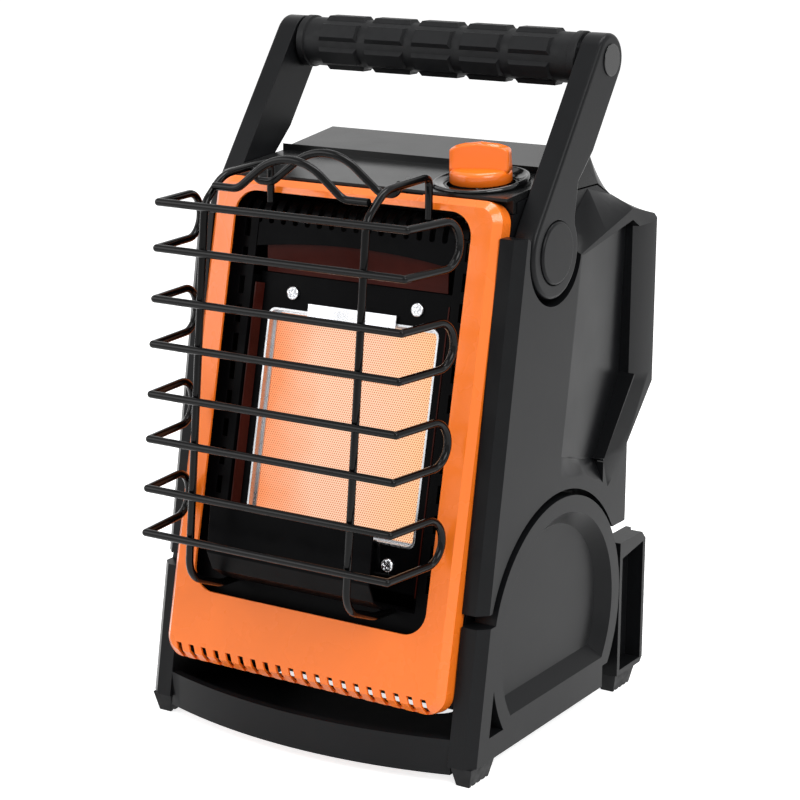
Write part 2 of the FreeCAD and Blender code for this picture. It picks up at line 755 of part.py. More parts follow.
def side_housing(side, name):
    """A side shell with its pillar, arch, sculpted recess and the handle pocket."""
    made = body(f"side_housing_{name}")
    low = S.post_top_up + S.head_gap
    hinge, up, pocket_size = S.hinge_back, S.hinge_up, S.pocket_radius
    arch_front = drum_point(arch_radius(), low, front=True)
    arch_rear = drum_point(arch_radius(), S.neck_low_up)
    outline = [
        (post_face(low), low),
        (*arch_front, -arch_radius()),
        arch_rear,
        (S.neck_rear, S.neck_low_up),
        (S.neck_rear, S.neck_top_up),
        (S.head_rear, S.head_rear_low_up),
        (S.head_rear, S.shoulder_up),
        (S.head_rear - 4, S.shoulder_up + 3.2),
        (76.4, 302.2),
        (47.4, 308.9),
        (hinge + pocket_size + 4, up + 4),
        (hinge + pocket_size, up, -pocket_size),
        (hinge, up - pocket_size, -pocket_size),
        (hinge - pocket_size, up),
        (hinge - pocket_size + 1, S.pillar_top_up - 2),
        (hinge - pocket_size - 1, S.pillar_top_up),
        (post_face(S.pillar_top_up), S.pillar_top_up),
    ]
    side_pad(made, side, S.head_inner, S.head_half, [outline])
    dress(made, "Chamfer", S.post_chamfer, lambda edge: is_pillar_corner(edge, side))
    top_ramp(made, side)
    sculpted_recess(made, side)
    return made


def is_pillar_corner(edge, side):
    middle = edge_middle(edge)
    on_face = abs(middle.y - post_face(as_size(middle.z)).value) < 0.3
    long_enough = edge.Length > 100
    return on_face and long_enough and abs(middle.x - side * S.head_half.value) < 0.1


def top_ramp(made, side):
    """The slope above the side panel that the folded handle comes down to."""
    rim = [(12, 277), (45, 286), (79.5, 294.9), (107, 288.2), (112, 330), (12, 330)]
    ridge = [(14.5, 283), (47.4, 309), (76.4, 302.3), (107, 288.4), (112, 330), (14.5, 330)]
    outside = sketch_on(made, "YZ_Plane", S.head_half * side, [rim])
    inside = sketch_on(made, "YZ_Plane", S.head_inner * side, [ridge])
    loft(made, outside, inside, cut=True)


def recess_depth(back, up):
    """Depth of the sunk side panel: nothing at its front crease, growing to the rear."""
    past_crease = (back + 2.5) * 0.985 - (up - 166) * 0.174
    return max(past_crease, 0) * S.panel_recess / 74.2


def lofts_through(made, role, stations):
    """Cuts through a row of sections, each a place along the plane's normal and an outline."""
    for near, far in zip(stations, stations[1:]):
        first, second = (sketch_on(made, role, place, [outline]) for place, outline in (near, far))
        loft(made, first, second, cut=True)


def sculpted_recess(made, side):
    """The sunk side panel with its steep rear step, sloping rear band and foot."""
    out = S.head_half + 3
    face = S.head_half

    def section(low, low_deep, high, high_deep):
        outline = [
            ((face - low_deep) * side, low), (out * side, low),
            (out * side, high), ((face - high_deep) * side, high),
        ]
        return outline if side > 0 else outline[::-1]

    panel = [
        (-2.4, 165.6, 166.4), (17.1, 160.2, 276.8), (33, 155.5, 279.8),
        (50, 152.5, 283), (78, 186.3, 288.3), (86, 196, 284),
    ]
    lofts_through(made, "XZ_Plane", [
        (-back, section(low, recess_depth(back, low), high, recess_depth(back, high)))
        for back, low, high in panel
    ])
    foot = [(-3, 153.4, 165.8), (27, 147.4, 157.4), (49, 138.2, 152.4)]
    lofts_through(made, "XZ_Plane", [
        (-back, section(low, 0, high, recess_depth(back, high))) for back, low, high in foot
    ])
    step = S.panel_step
    band = [(134.6, 55, 56, 0.1), (151, 48.8, 76, step), (194, 85.9, 105.5, step), (283.4, 85.9, 105.5, step)]
    lofts_through(made, "XY_Plane", [
        (up, slanted(face, out, side, inner, outer, deep)) for up, inner, outer, deep in band
    ])


def slanted(face, out, side, inner, outer, deep):
    """Section of the rear band: deep at its front edge and flush at its rear edge."""
    outline = [
        ((face - deep) * side, inner), (out * side, inner), (out * side, outer), ((face + 0.01) * side, outer),
    ]
    return outline if side > 0 else outline[::-1]


def top_cover():
    """The control deck and the lid behind it, one step higher."""
    made = body("top_cover")
    wall = S.wall
    front, high = S.deck_front_up, S.deck_front_up + S.deck_rise
    step, lid = S.step_back, S.deck_front_up + S.deck_rise + S.step_high
    edge, lip = -43, -36.2
    deck = [
        (edge, front - 1.7), (lip, front - 1.7), (lip, front - 9), (lip + wall, front - 9),
        (lip + wall, front - wall), (step + wall, high - wall), (step + wall, lid - wall),
        (step, lid), (step, high), (edge, front),
    ]
    deck.reverse()
    pad(made, sketch_on(made, "YZ_Plane", 0, [deck]), S.head_inner * 2 - 1.6, both_ways=True)
    rear, peak = S.lid_rear_back, S.lid_rear_up
    lid_band = [
        (step, lid - wall), (rear - 1.4, peak - wall), (78.3, 302), (81, 300.8),
        (rear, peak), (step, lid),
    ]
    pad(made, sketch_on(made, "YZ_Plane", 0, [lid_band]), 87.2 * 2, both_ways=True)
    for side in (1, -1):
        lid_side(made, side)
    knob_hole(made)
    return made


def lid_side(made, side):
    """The sloping side wall of the lid, from the step back to the rear edge and down."""
    lid = S.deck_front_up + S.deck_rise + S.step_high
    stations = [(S.step_back, lid), (S.lid_rear_back, S.lid_rear_up), (79.5, 303)]
    for near, far in zip(stations, stations[1:]):
        ends = []
        for back, top in (near, far):
            low = 310.5 if back is not stations[-1][0] else 300.6
            outline = [(84 * side, top - 0.4), (87.2 * side, top), (94.2 * side, low), (91 * side, low)]
            if side < 0:
                outline.reverse()
            ends.append(sketch_on(made, "XZ_Plane", -as_size(back), [outline]))
        loft(made, *ends)


def deck_lean():
    return math.degrees(math.atan2(S.deck_rise.value, S.step_back.value + 43))


def knob_hole(made):
    """The opening under the knob, square to the deck."""
    sketch = sketch_on(made, "XY_Plane", S.deck_front_up + 20, circles=[
        (S.knob_side, S.knob_back, S.collar_inner - 1.2),
    ])
    pocket(made, sketch, 40)


# The front panel and what is behind it

def panel_body(label, deep=0):
    """A piece drawn in the leaning frame of the front panel, deep behind its face."""
    lean = math.radians(S.panel_lean.value)
    return body(
        label, 0, S.panel_back + as_size(deep) * math.cos(lean),
        S.panel_up - as_size(deep) * math.sin(lean), turn_x=-S.panel_lean,
    )


def front_panel():
    """The painted pressed panel with its window, rim notches and slanted vents."""
    made = panel_body("front_panel")
    half, low, high = S.panel_half, S.panel_low, S.panel_high
    outline = rounded(-half, low, half, high, S.panel_corner)
    face = sketch_on(made, "XZ_Plane", 0, [outline])
    pad(made, face, S.panel_deep, backward=True)
    dress(made, "Chamfer", S.panel_edge, lambda edge: abs(edge.BoundBox.YMax) < 0.01)
    hollow_out(made, S.panel_sheet, lambda shape: shape.BoundBox.YMin > S.panel_deep.value - 0.01)
    window = rounded(-S.window_half, S.window_low, S.window_half, S.window_high, S.window_corner)
    pocket(made, sketch_on(made, "XZ_Plane", 5, [window]), S.panel_deep)
    rim_notches(made)
    apron_vents(made)
    return made


def rim_notches(made):
    """Two notches in the top rim where the guard's rear arch passes."""
    top = S.panel_high + 1
    outlines = [rectangle(at - 8.5, S.panel_high - 5, at + 8.5, top) for at in (34.5, -68.5)]
    sketch = sketch_on(made, "XZ_Plane", -S.panel_edge + 0.5, outlines)
    pocket(made, sketch, S.panel_deep)


def apron_vents(made):
    """The row of slanted slots along the panel's lower bend."""
    low, pitch = S.panel_low, S.apron_slot_pitch
    start = -9.5 * pitch
    slot = [
        (start + 1.5, low - 1), (start + 5.1, low - 1), (start + 1.2, low + 8.5), (start - 2.4, low + 8.5),
    ]
    sketch = sketch_on(made, "XZ_Plane", 5, [slot])
    cut = pocket(made, sketch, 5 + S.panel_edge + 1)
    repeat(made, cut, sketch, "H_Axis", 19 * pitch, 20)


def chamber_liner():
    """The black frame inside the window: slotted side strips, side walls and a floor lip."""
    made = panel_body("chamber_liner", S.liner_back)
    half, sheet = S.liner_half, S.liner_sheet
    side, low, high = S.window_half + 9, S.window_low - 8, S.cover_bend_up - 0.4
    frame = [
        (-side, low), (side, low), (side, high), (half, high),
        (half, S.liner_low), (-half, S.liner_low), (-half, high), (-side, high),
    ]
    pad(made, sketch_on(made, "XZ_Plane", 0, [frame]), sheet, backward=True)
    walls = [
        rectangle(-half - sheet, -90, -half, 72),
        rectangle(half, -90, half + sheet, 72),
        rectangle(-half, S.liner_low - sheet, half, S.liner_low),
    ]
    pad(made, sketch_on(made, "XZ_Plane", 0, walls[:2]), 12, backward=True)
    pad(made, sketch_on(made, "XZ_Plane", 0, walls[2:]), 13, backward=True)
    for across in (-75, 71.4):
        slot = rectangle(across, -88, across + 3.6, -78)
        sketch = sketch_on(made, "XZ_Plane", 2, [slot])
        cut = pocket(made, sketch, 5)
        repeat(made, cut, sketch, "V_Axis", 11 * 16.5, 12)
    return made


def louvre_cover():
    """The slotted hood that bends over the top of the heat chamber, with an arched lower edge."""
    made = panel_body("louvre_cover", S.liner_back)
    sheet, low, bend = S.liner_sheet, S.cover_bend_up, S.cover_bend
    top, rear = low + bend, bend + 5
    hood = [
        (sheet, low, sheet - bend), (bend, top - sheet), (rear, top - sheet), (rear, top),
        (bend, top, bend), (0, low),
    ]
    pad(made, sketch_on(made, "YZ_Plane", 0, [hood]), S.window_half * 2 + 12, both_ways=True)
    half, rise = S.liner_half - 0.4, S.cover_arch
    radius = (half * half + rise * rise) / (2 * rise)
    face = [(-half, S.cover_low, -radius), (half, S.cover_low), (half, low), (-half, low)]
    pad(made, sketch_on(made, "XZ_Plane", 0, [face]), sheet, backward=True)
    louvre_slots(made, top)
    return made


def louvre_slots(made, top):
    """A row of slots from the face up over the bend, each with a round lower end."""
    pitch, half = S.louvre_pitch, S.louvre_wide / 2
    middle, foot = -9 * pitch, S.cover_bend_up - 2.4
    slot = [
        (middle - half, foot, half * 1.1), (middle + half, foot), (middle + half, top + 1),
        (middle - half, top + 1),
    ]
    sketch = sketch_on(made, "XZ_Plane", 2, [slot])
    cut = pocket(made, sketch, S.cover_bend + 4)
    repeat(made, cut, sketch, "H_Axis", 18 * pitch, 19)


def screw_rows():
    """Heights of the burner screws in the frame of the front panel."""
    return S.tile_high + S.screw_above, S.tile_low - S.screw_below


def burner_plate():
    """The black plate round the tile, screwed to the plenum."""
    made = panel_body("burner_plate", S.plate_back)
    half = S.liner_half - S.liner_sheet - 0.4
    outer = rectangle(-half, S.tile_low - 26, half, S.plate_high)
    hole = rounded(-S.tile_half - 1.6, S.tile_low - 1.6, S.tile_half + 1.6, S.tile_high + 1.6, 5)
    spots = [(side * S.screw_side, up, 2.05) for side in (-1, 1) for up in screw_rows()]
    pad(made, sketch_on(made, "XZ_Plane", 0, [outer, hole], spots), S.liner_sheet + 0.2, backward=True)
    return made


def ceramic_tile():
    made = panel_body("ceramic_tile", S.burner_face + 0.6)
    outline = rounded(-S.tile_half, S.tile_low, S.tile_half, S.tile_high, 4)
    pad(made, sketch_on(made, "XZ_Plane", 0, [outline]), S.tile_deep, backward=True)
    return made


def tile_frame():
    """The folded steel rim that clamps the tile, with a wall out to the burner plate."""
    made = panel_body("tile_frame", S.plate_back - 0.4)
    out, lip = 1.5, S.burner_face - S.plate_back - 0.2
    outer = rounded(-S.tile_half - out, S.tile_low - out, S.tile_half + out, S.tile_high + out, 5)
    inner = rounded(-S.tile_half + 1.2, S.tile_low + 1.2, S.tile_half - 1.2, S.tile_high - 1.2, 3.5)
    skirt = rounded(-S.tile_half - 0.1, S.tile_low - 0.1, S.tile_half + 0.1, S.tile_high + 0.1, 4)
    pad(made, sketch_on(made, "XZ_Plane", 0, [outer, skirt]), lip + 12, backward=True)
    pad(made, sketch_on(made, "XZ_Plane", -lip, [outer, inner]), 1.2, backward=True)
    return made


def tile_bracket():
    """The bright clip over the tile's upper edge."""
    made = panel_body("tile_bracket", S.plate_back - 2)
    low = S.tile_high - 2
    band = [(0, low), (1.2, low), (1.2, low + 7), (2, low + 7), (2, low + 8), (0, low + 8)]
    pad(made, sketch_on(made, "YZ_Plane", 0, [band]), 59, both_ways=True)
    return made


def plenum():
    """The gas and air box behind the tile, with the mixing tube into it."""
    made = panel_body("plenum", S.burner_face + S.tile_deep + 0.8)
    wide = S.tile_half + 1.5
    outline = rounded(-wide, S.tile_low - 15, wide, S.tile_high + 17, 6)
    pad(made, sketch_on(made, "XZ_Plane", 0, [outline]), 14, backward=True)
    return made


def reflector(side, name):
    """A polished side wall between the window and the burner plate."""
    made = panel_body(f"reflector_{name}", S.liner_back + 1.4)
    deep = S.plate_back - S.liner_back - 1.9
    inner, outer = S.liner_half - 4.5, S.liner_half - S.liner_sheet - 0.3
    sheet = 0.8
    strip = [(outer - sheet, 0), (outer, 0), (inner + sheet, deep), (inner, deep)]
    strip = [(across * side, back) for across, back in strip]
    if side < 0:
        strip.reverse()
    pad(made, sketch_on(made, "XY_Plane", -92, [strip]), 160)
    return made


def reflector_top():
    """The sloping plate from the top of the burner plate up behind the hood."""
    made = panel_body("reflector_top", S.liner_back + 1.8)
    low, deep = S.plate_high + 0.5, S.plate_back - S.liner_back - 2.2
    high = S.cover_low + 5.8
    band = [(0, high), (deep - 0.8, low), (deep, low), (0.8, high + 0.2)]
    pad(made, sketch_on(made, "YZ_Plane", 0, [band]), S.liner_half * 2 - 12, both_ways=True)
    return made


def burner_screws():
    shapes = []
    lean = Rotation(Vector(1, 0, 0), -S.panel_lean.value)
    datum = Vector(0, S.panel_back.value, S.panel_up.value)
    for side in (-1, 1):
        for up in screw_rows():
            local = Vector(side * S.screw_side.value, S.plate_back.value, up.value)
            shapes.append(pan_screw(datum + lean.multVec(local), lean.multVec(Vector(0, -1, 0))))
    return free_shape("burner_screws", Part.makeCompound(shapes))


def pan_screw(seat, outward, head=4.0, high=2.5, shank=1.95, length=9.0):
    """A pan-head screw on its seat, its head narrowing to the top."""
    rim = high * 0.4
    lower = Part.makeCylinder(head, rim, seat, outward)
    upper = Part.makeCone(head, head * 0.62, high - rim, seat + outward * rim, outward)
    stem = Part.makeCylinder(shank, length, seat - outward * length, outward)
    return lower.multiFuse([upper, stem]).removeSplitter()


def front_shield():
    """The bent plate behind the lowest guard wires, with its scooped lower edge."""
    made = body("front_shield")
    sheet = 1.2
    face = S.guard_back + S.wire * 1.5 + 15.05
    low = S.shield_low
    outline = [
        (face + 4.4, 142), (face, 112), (face + 5, 101), (face + 16, low + 1), (face + 24, low),
        (face + 24, low + sheet), (face + 16.4, low + 1 + sheet), (face + 6, 101.6),
        (face + sheet, 112.2), (face + 4.4 + sheet, 142),
    ]
    pad(made, sketch_on(made, "YZ_Plane", 0, [outline]), S.rail_side * 2 + 4, both_ways=True)
    return made


# The wire guard

def wire_run(points, section, closed=False):
    """A round wire through points; a corner has its bend radius, or 0 for a tight fold."""
    places = [Vector(*point[:3]) for point in points]
    bends = [point[3] if len(point) > 3 else 0 for point in points]
    total = len(places)
    starts, ends, solids = {}, {}, []
    for i, place in enumerate(places):
        if not closed and i in (0, total - 1):
            starts[i], ends[i] = place, place
            continue
        into = (place - places[i - 1]).normalize()
        away = (places[(i + 1) % total] - place).normalize()
        turn = into.getAngle(away)
        reach = bends[i] * math.tan(turn / 2)
        ends[i], starts[i] = place - into * reach, place + away * reach
        axis = into.cross(away).normalize()
        solids.append(wire_bend(ends[i], into, axis, turn, section, bends[i]))
    for i in range(total if closed else total - 1):
        start, end = starts[i], ends[(i + 1) % total]
        if start.distanceToPoint(end) > 0.01:
            solids.append(Part.makeCylinder(section, start.distanceToPoint(end), start, end - start))
    return solids[0].multiFuse(solids[1:]).removeSplitter()


def wire_bend(entry, into, axis, turn, section, bend):
    """A bend of a round wire: part of a ring, or the outer part of a ball at a fold."""
    degrees = math.degrees(turn)
    inward = axis.cross(into)
    if bend > 0:
        disc = Part.Face(Part.Wire(Part.Circle(entry, into, section).toShape()))
        return disc.revolve(entry + inward * bend, axis, degrees)
    rim = Part.Arc(entry + axis * section, entry - inward * section, entry - axis * section)
    flat = Part.LineSegment(entry - axis * section, entry + axis * section)
    half_disc = Part.Face(Part.Wire([rim.toShape(), flat.toShape()]))
    return half_disc.revolve(entry, axis, degrees)


def guard_plane(up):
    """Front-to-back place of the guard's front wires at a height."""
    return (S.guard_back + (up - S.guard_up) * slope_of(S.guard_lean)).value


def guard_hoop(number):
    """One racetrack loop: two front wires, four legs and a bend at each side."""
    half, wide = S.guard_half.value, (S.guard_half + S.hoop_splay).value
    low = (S.guard_up + (number - 1) * S.hoop_pitch).value
    high = low + S.hoop_high.value
    turn = S.hoop_high.value / 2 - 0.01
    deep = S.hoop_deep.value
    points = []
    for side, first, last in ((1, high, low), (-1, low, high)):
        points.append((half * side, guard_plane(first), first))
        points.append((wide * side, guard_plane(first) + deep, first, turn))
        points.append((wide * side, guard_plane(last) + deep, last, turn))
        points.append((half * side, guard_plane(last), last))
    shape = wire_run(points, S.wire.value / 2, closed=True)
    return free_shape(f"guard_hoop_{number}", shape)


def guard_rail(side, name):
    """An upright wire behind the hoops, bent back over the top and under the bottom."""
    across = S.rail_side.value * side
    behind = S.wire.value + 0.02
    under = (S.shield_low - S.wire / 2).value - 0.15
    rows = [
        (-89.3, under), (-107, under + 1.4, 22), (guard_plane(103) + behind, 103, 14),
        (guard_plane(309.5) + behind, 309.5, 12), (-99, 323.0, 24), (-54.6, 324.8, 4.5), (-54.6, 302),
    ]
    points = [(across, *row) for row in rows]
    return free_shape(f"guard_rail_{name}", wire_run(points, S.wire.value / 2))


def guard_arch_front():
    """The cross wire between the rails at the front, raised in its middle."""
    end, back, up = S.rail_side.value - S.wire.value / 2, -110.5, 318.2
    points = [
        (-end, back, up), (-34, back, up, 10), (0, back, up + 27, 32),
        (34, back, up, 10), (end, back, up),
    ]
    return free_shape("guard_arch_front", wire_run(points, S.wire.value / 2))


def guard_arch_rear():
    """The same over the top rim: it leaves the rails, dips and rises in its middle."""
    end, back = S.rail_side.value - S.wire.value / 2 - 1.75, -77
    points = [
        (-end, back, 324), (-45, back, 317.5, 5), (-35, back, 317.5, 8), (0, back, 344.5, 32),
        (35, back, 317.5, 8), (45, back, 317.5, 5), (end, back, 324),
    ]
    return free_shape("guard_arch_rear", wire_run(points, S.wire.value / 2))


def guard():
    for number in (1, 2, 3, 4):
        guard_hoop(number)
    for side, name in ((-1, "left"), (1, "right")):
        guard_rail(side, name)
    guard_arch_front()
    guard_arch_rear()


# Controls

def knob_seat_up():
    """Height of the deck under the knob."""
    return S.deck_front_up + S.deck_rise * ((S.knob_back + 43) / (S.step_back + 43))


def deck_body(label, above=0):
    """A piece drawn about the knob axis, square to the deck, above its surface."""
    lean = math.radians(deck_lean())
    return body(
        label, S.knob_side, S.knob_back - as_size(above) * math.sin(lean),
        knob_seat_up() + as_size(above) * math.cos(lean), turn_x=deck_lean(),
    )


def knob_collar():
    """The glossy ring round the knob."""
    made = deck_body("knob_collar")
    low, high, inner, outer = 0, S.collar_high, S.collar_inner, S.collar_outer
    profile = [
        (inner, low), (outer, low), (outer, high - 3.4), (outer - 1.2, high - 1.2),
        (outer - 3.6, high), (inner + 1.2, high), (inner, high - 1),
    ]
    revolve(made, sketch_on(made, "XZ_Plane", 0, [profile]))
    return made


def knob():
    """The turning knob: round skirt, arched grip bar and a bore for the stem."""
    made = deck_body("knob", 0.6)
    radius, skirt, high = S.knob_radius, S.knob_skirt, S.knob_high - 0.6
    bore, deep = S.stem_radius + S.pin_play, 9
    profile = [
        (bore, 0), (radius, 0), (radius, skirt - 1.4), (radius - 1.2, skirt),
        (7.5, skirt + 0.8), (7.5, 13), (0, 13), (0, deep), (bore, deep),
    ]
    revolve(made, sketch_on(made, "XZ_Plane", 0, [profile]))
    bar_half, bar_thick = 16.4, 6.4
    arch = [
        (-bar_half, skirt - 1.6), (bar_half, skirt - 1.6), (bar_half, high - 5.4, 38),
        (0, high, 38), (-bar_half, high - 5.4),
    ]
    made_bar = sketch_on(made, "XZ_Plane", 0, [arch])
    pad(made, made_bar, bar_thick * 2, both_ways=True)
    hole = sketch_on(made, "XY_Plane", 0, circles=[(0, 0, bore)])
    pocket(made, hole, deep, backward=True)
    made.Placement = made.Placement.multiply(Placement(Vector(), Rotation(Vector(0, 0, 1), S.knob_turn.value)))
    return made


def valve_stem():
    """The plunger that the knob turns on and that is pushed in to light the heater."""
    made = deck_body("valve_stem", 9.6)
    length = S.stem_long
    pad(made, sketch_on(made, "XY_Plane", 0, circles=[(0, 0, S.stem_radius)]), length, backward=True)
    return made


def valve_body():
    """The brass gas valve under the deck, with its foot on the bulkhead."""
    made = deck_body("valve_body", -14)
    radius = S.valve_radius
    pad(made, sketch_on(made, "XY_Plane", 0, circles=[(0, 0, radius)]), 30, backward=True)
    pad(made, sketch_on(made, "XY_Plane", 0, circles=[(0, 0, 6)]), 5)
    foot = sketch_on(made, "XY_Plane", -6, [rectangle(-12, 2, 12, radius + 1.3)])
    pad(made, foot, 20, backward=True)
    bore = sketch_on(made, "XY_Plane", 5, circles=[(0, 0, S.stem_radius + S.pin_play)])
    pocket(made, bore, 26)
    return made


def gas_tube():
    back, side = S.regulator_back.value, S.knob_side.value
    points = [(21.1, back, 288), (side, back, 288, 9), (side, -1.7, 288)]
    return free_shape("gas_tube", wire_run(points, S.tube_radius.value))


def mixing_tube():
    """The tube that leads gas and air from the valve into the plenum."""
    lean, fall = math.radians(S.panel_lean.value), math.radians(deck_lean())
    top = Vector(S.knob_side.value, S.knob_back.value, knob_seat_up().value)
    down = Vector(0, math.sin(fall), -math.cos(fall))
    start = top + down * 44.1
    middle_back = -8.2
    turn = start + down * ((middle_back - start.y) / down.y)
    deep = S.burner_face.value + S.tile_deep.value + 0.8 + 14.05
    inward = Vector(0, math.cos(lean), -math.sin(lean))
    upward = Vector(0, math.sin(lean), math.cos(lean))
    end = Vector(40, S.panel_back.value, S.panel_up.value) + inward * deep + upward * 5
    elbow = end + inward * ((middle_back - end.y) / inward.y)
    points = [tuple(start), (*turn, 12), (*elbow, 9), tuple(end)]
    return free_shape("mixing_tube", wire_run(points, S.mixing_radius.value))


# Fuel bay

def regulator():
    """The regulator with the threaded mouth for a gas cylinder."""
    made = body("regulator", 0, S.regulator_back, S.regulator_low_up)
    deep, radius = S.inlet_deep, S.inlet_radius
    profile = [
        (radius, 0), (17.5, 0), (17.5, 13), (21, 15), (21, 31), (19, 35), (0, 35),
        (0, deep + S.seal_deep + 0.4), (11, deep + S.seal_deep + 0.4), (11, deep), (radius, deep),
    ]
    revolve(made, sketch_on(made, "XZ_Plane", 0, [profile]))
    return made


def inlet_seal():
    made = body("inlet_seal", 0, S.regulator_back, S.regulator_low_up + S.inlet_deep + 0.4)
    high = S.seal_deep
    profile = [(4, 0), (9, 0), (10.5, 1.2), (10.5, high), (4, high)]
    revolve(made, sketch_on(made, "XZ_Plane", 0, [profile]))
    return made


def fuel_door():
    """The rear door with vent slots and hinge knuckles."""
    made = body("fuel_door")
    gap, back, thick = S.door_gap, S.door_axis_back, S.wall
    low, high, right = S.bay_low + gap, S.bay_high - gap, S.bay_half - gap
    plate = [
        (-S.door_axis_side, low + 2.4), (2.4 - S.door_axis_side, low), (right - 7.5, low, 7.5),
        (right, low + 7.5), (right, high - 7.5, 7.5), (right - 7.5, high),
        (2.4 - S.door_axis_side, high), (-S.door_axis_side, high - 2.4),
    ]
    pad(made, sketch_on(made, "XZ_Plane", -back, [plate]), thick, backward=True)
    knuckle = sketch_on(made, "XY_Plane", low + 6, circles=[(-S.door_axis_side, back, S.knuckle_radius)])
    pad(made, knuckle, high - low - 12)
    for lug in (S.lug_low_up, S.lug_high_up):
        space = rectangle(-S.bay_half - 1, lug - 0.3, 4 - S.door_axis_side, lug + S.lug_high + 0.3)
        pocket(made, sketch_on(made, "XZ_Plane", -back + 6, [space]), 12)
    bore = sketch_on(made, "XY_Plane", 0, circles=[
        (-S.door_axis_side, back, S.door_pin_radius + S.pin_play),
    ])
    pocket(made, bore, high, backward=True)
    slot = rounded(-28, 90, 28, 94, 1.9)
    sketch = sketch_on(made, "XZ_Plane", -back + 1, [slot])
    cut = pocket(made, sketch, thick + 2)
    repeat(made, cut, sketch, "V_Axis", 50, 6)
    mid = S.latch_up
    slide = rounded(right - 22, mid - 5.2, right - 9 + S.latch_travel, mid + 5.2, 1.5)
    pocket(made, sketch_on(made, "XZ_Plane", -back + 1, [slide]), thick + 2)
    return made


def door_hinge_pin():
    made = body("door_hinge_pin", -S.door_axis_side, S.door_axis_back, S.bay_low + 8)
    pin = sketch_on(made, "XY_Plane", 0, circles=[(0, 0, S.door_pin_radius)])
    pad(made, pin, S.bay_high - S.bay_low - 16)
    return made


def door_latch():
    """The sliding latch: a bolt behind the door and a thumb pad through its slot."""
    made = body("door_latch", 0, S.door_axis_back, S.latch_up)
    right = S.bay_half - S.door_gap
    bolt = rectangle(right - 28, -8, right - 0.1, 8)
    pad(made, sketch_on(made, "XZ_Plane", 2.7, [bolt]), 1.6, backward=True)
    neck = rounded(right - 21.8, -5, right - 9.2, 5, 1.3)
    pad(made, sketch_on(made, "XZ_Plane", 1.4, [neck]), 1.4 + S.wall + 1.6, backward=True)
    return made


# The carry handle

def arm_angles():
    """The direction from the hinge to the grip, and the one to the straight rear edge's two ends."""
    back, up = (S.grip_back - S.hinge_back).value, (S.grip_up - S.hinge_up).value
    lean = math.degrees(math.atan2(up, back))
    narrowing = (S.arm_end_radius - S.arm_top_radius).value
    return lean, lean + 90 - math.degrees(math.asin(narrowing / math.hypot(back, up)))


def handle_arm(side, name):
    """A flat arm with round ends, its hinge bore and the seat for the hinge cap."""
    made = body(f"handle_arm_{name}")
    hinge, low_radius = (S.hinge_back, S.hinge_up), S.arm_end_radius
    grip, high_radius = (S.grip_back, S.grip_up), S.arm_top_radius
    lean, rear = arm_angles()
    outline = [
        around(*grip, 52.31, lean - 169.04), (*around(*grip, high_radius, lean - 93.5), high_radius),
        (*around(*grip, high_radius, lean - 4.5), high_radius), around(*grip, high_radius, rear),
        (*around(*hinge, low_radius, rear), low_radius), (*around(*hinge, low_radius, 266), low_radius),
        around(*hinge, low_radius, 30), (S.hinge_back + 22, S.hinge_up + 17),
        (S.hinge_back + 25, S.hinge_up + (S.grip_up - S.hinge_up) * 0.3575),
    ]
    side_pad(made, side, S.arm_inner, S.arm_outer, [outline])
    dress(made, "Chamfer", 1.6, lambda edge: is_arm_rim(edge, side))
    side_cut(made, side, S.arm_inner - 1, S.arm_outer + 1, [], [(*hinge, S.hinge_radius + S.pin_play)])
    side_cut(made, side, S.arm_outer - 2, S.arm_outer + 1, [], [(*hinge, S.boss_radius + 0.1)])
    side_cut(made, side, S.arm_inner - 1, S.arm_outer + 1, [], [(*grip, S.grip_bolt_radius)])
    return made


def is_arm_rim(edge, side):
    box = edge.BoundBox
    outer = S.arm_outer.value * side
    return abs(box.XMin - outer) < 0.01 and abs(box.XMax - outer) < 0.01


def hinge_cap(side, name):
    """Pin and round cap of the handle hinge."""
    made = body(f"hinge_cap_{name}", 0, S.hinge_back, S.hinge_up)
    outer = S.arm_outer + S.boss_proud
    side_pad(made, side, S.arm_outer - 2, outer, [], [(0, 0, S.boss_radius)])
    dress(made, "Chamfer", 0.9, lambda edge: abs(abs(edge_middle(edge).x) - outer.value) < 0.01)
    side_pad(made, side, 88, S.arm_outer - 2, [], [(0, 0, S.hinge_radius)])
    return made


def grip_bolt(side, name):
    made = body(f"grip_bolt_{name}", 0, S.grip_back, S.grip_up)
    side_pad(made, side, S.arm_outer, S.arm_outer + 0.8, [], [(0, 0, S.grip_cap_radius)])
    side_pad(made, side, 86, S.arm_outer, [], [(0, 0, S.grip_bolt_radius)])
    return made


def grip_core():
    made = body("grip_core", 0, S.grip_back, S.grip_up)
    rings = [(0, 0, S.grip_core_radius), (0, 0, S.grip_bolt_radius)]
    pad(made, sketch_on(made, "YZ_Plane", circles=rings), S.arm_inner * 2, both_ways=True)
    return made


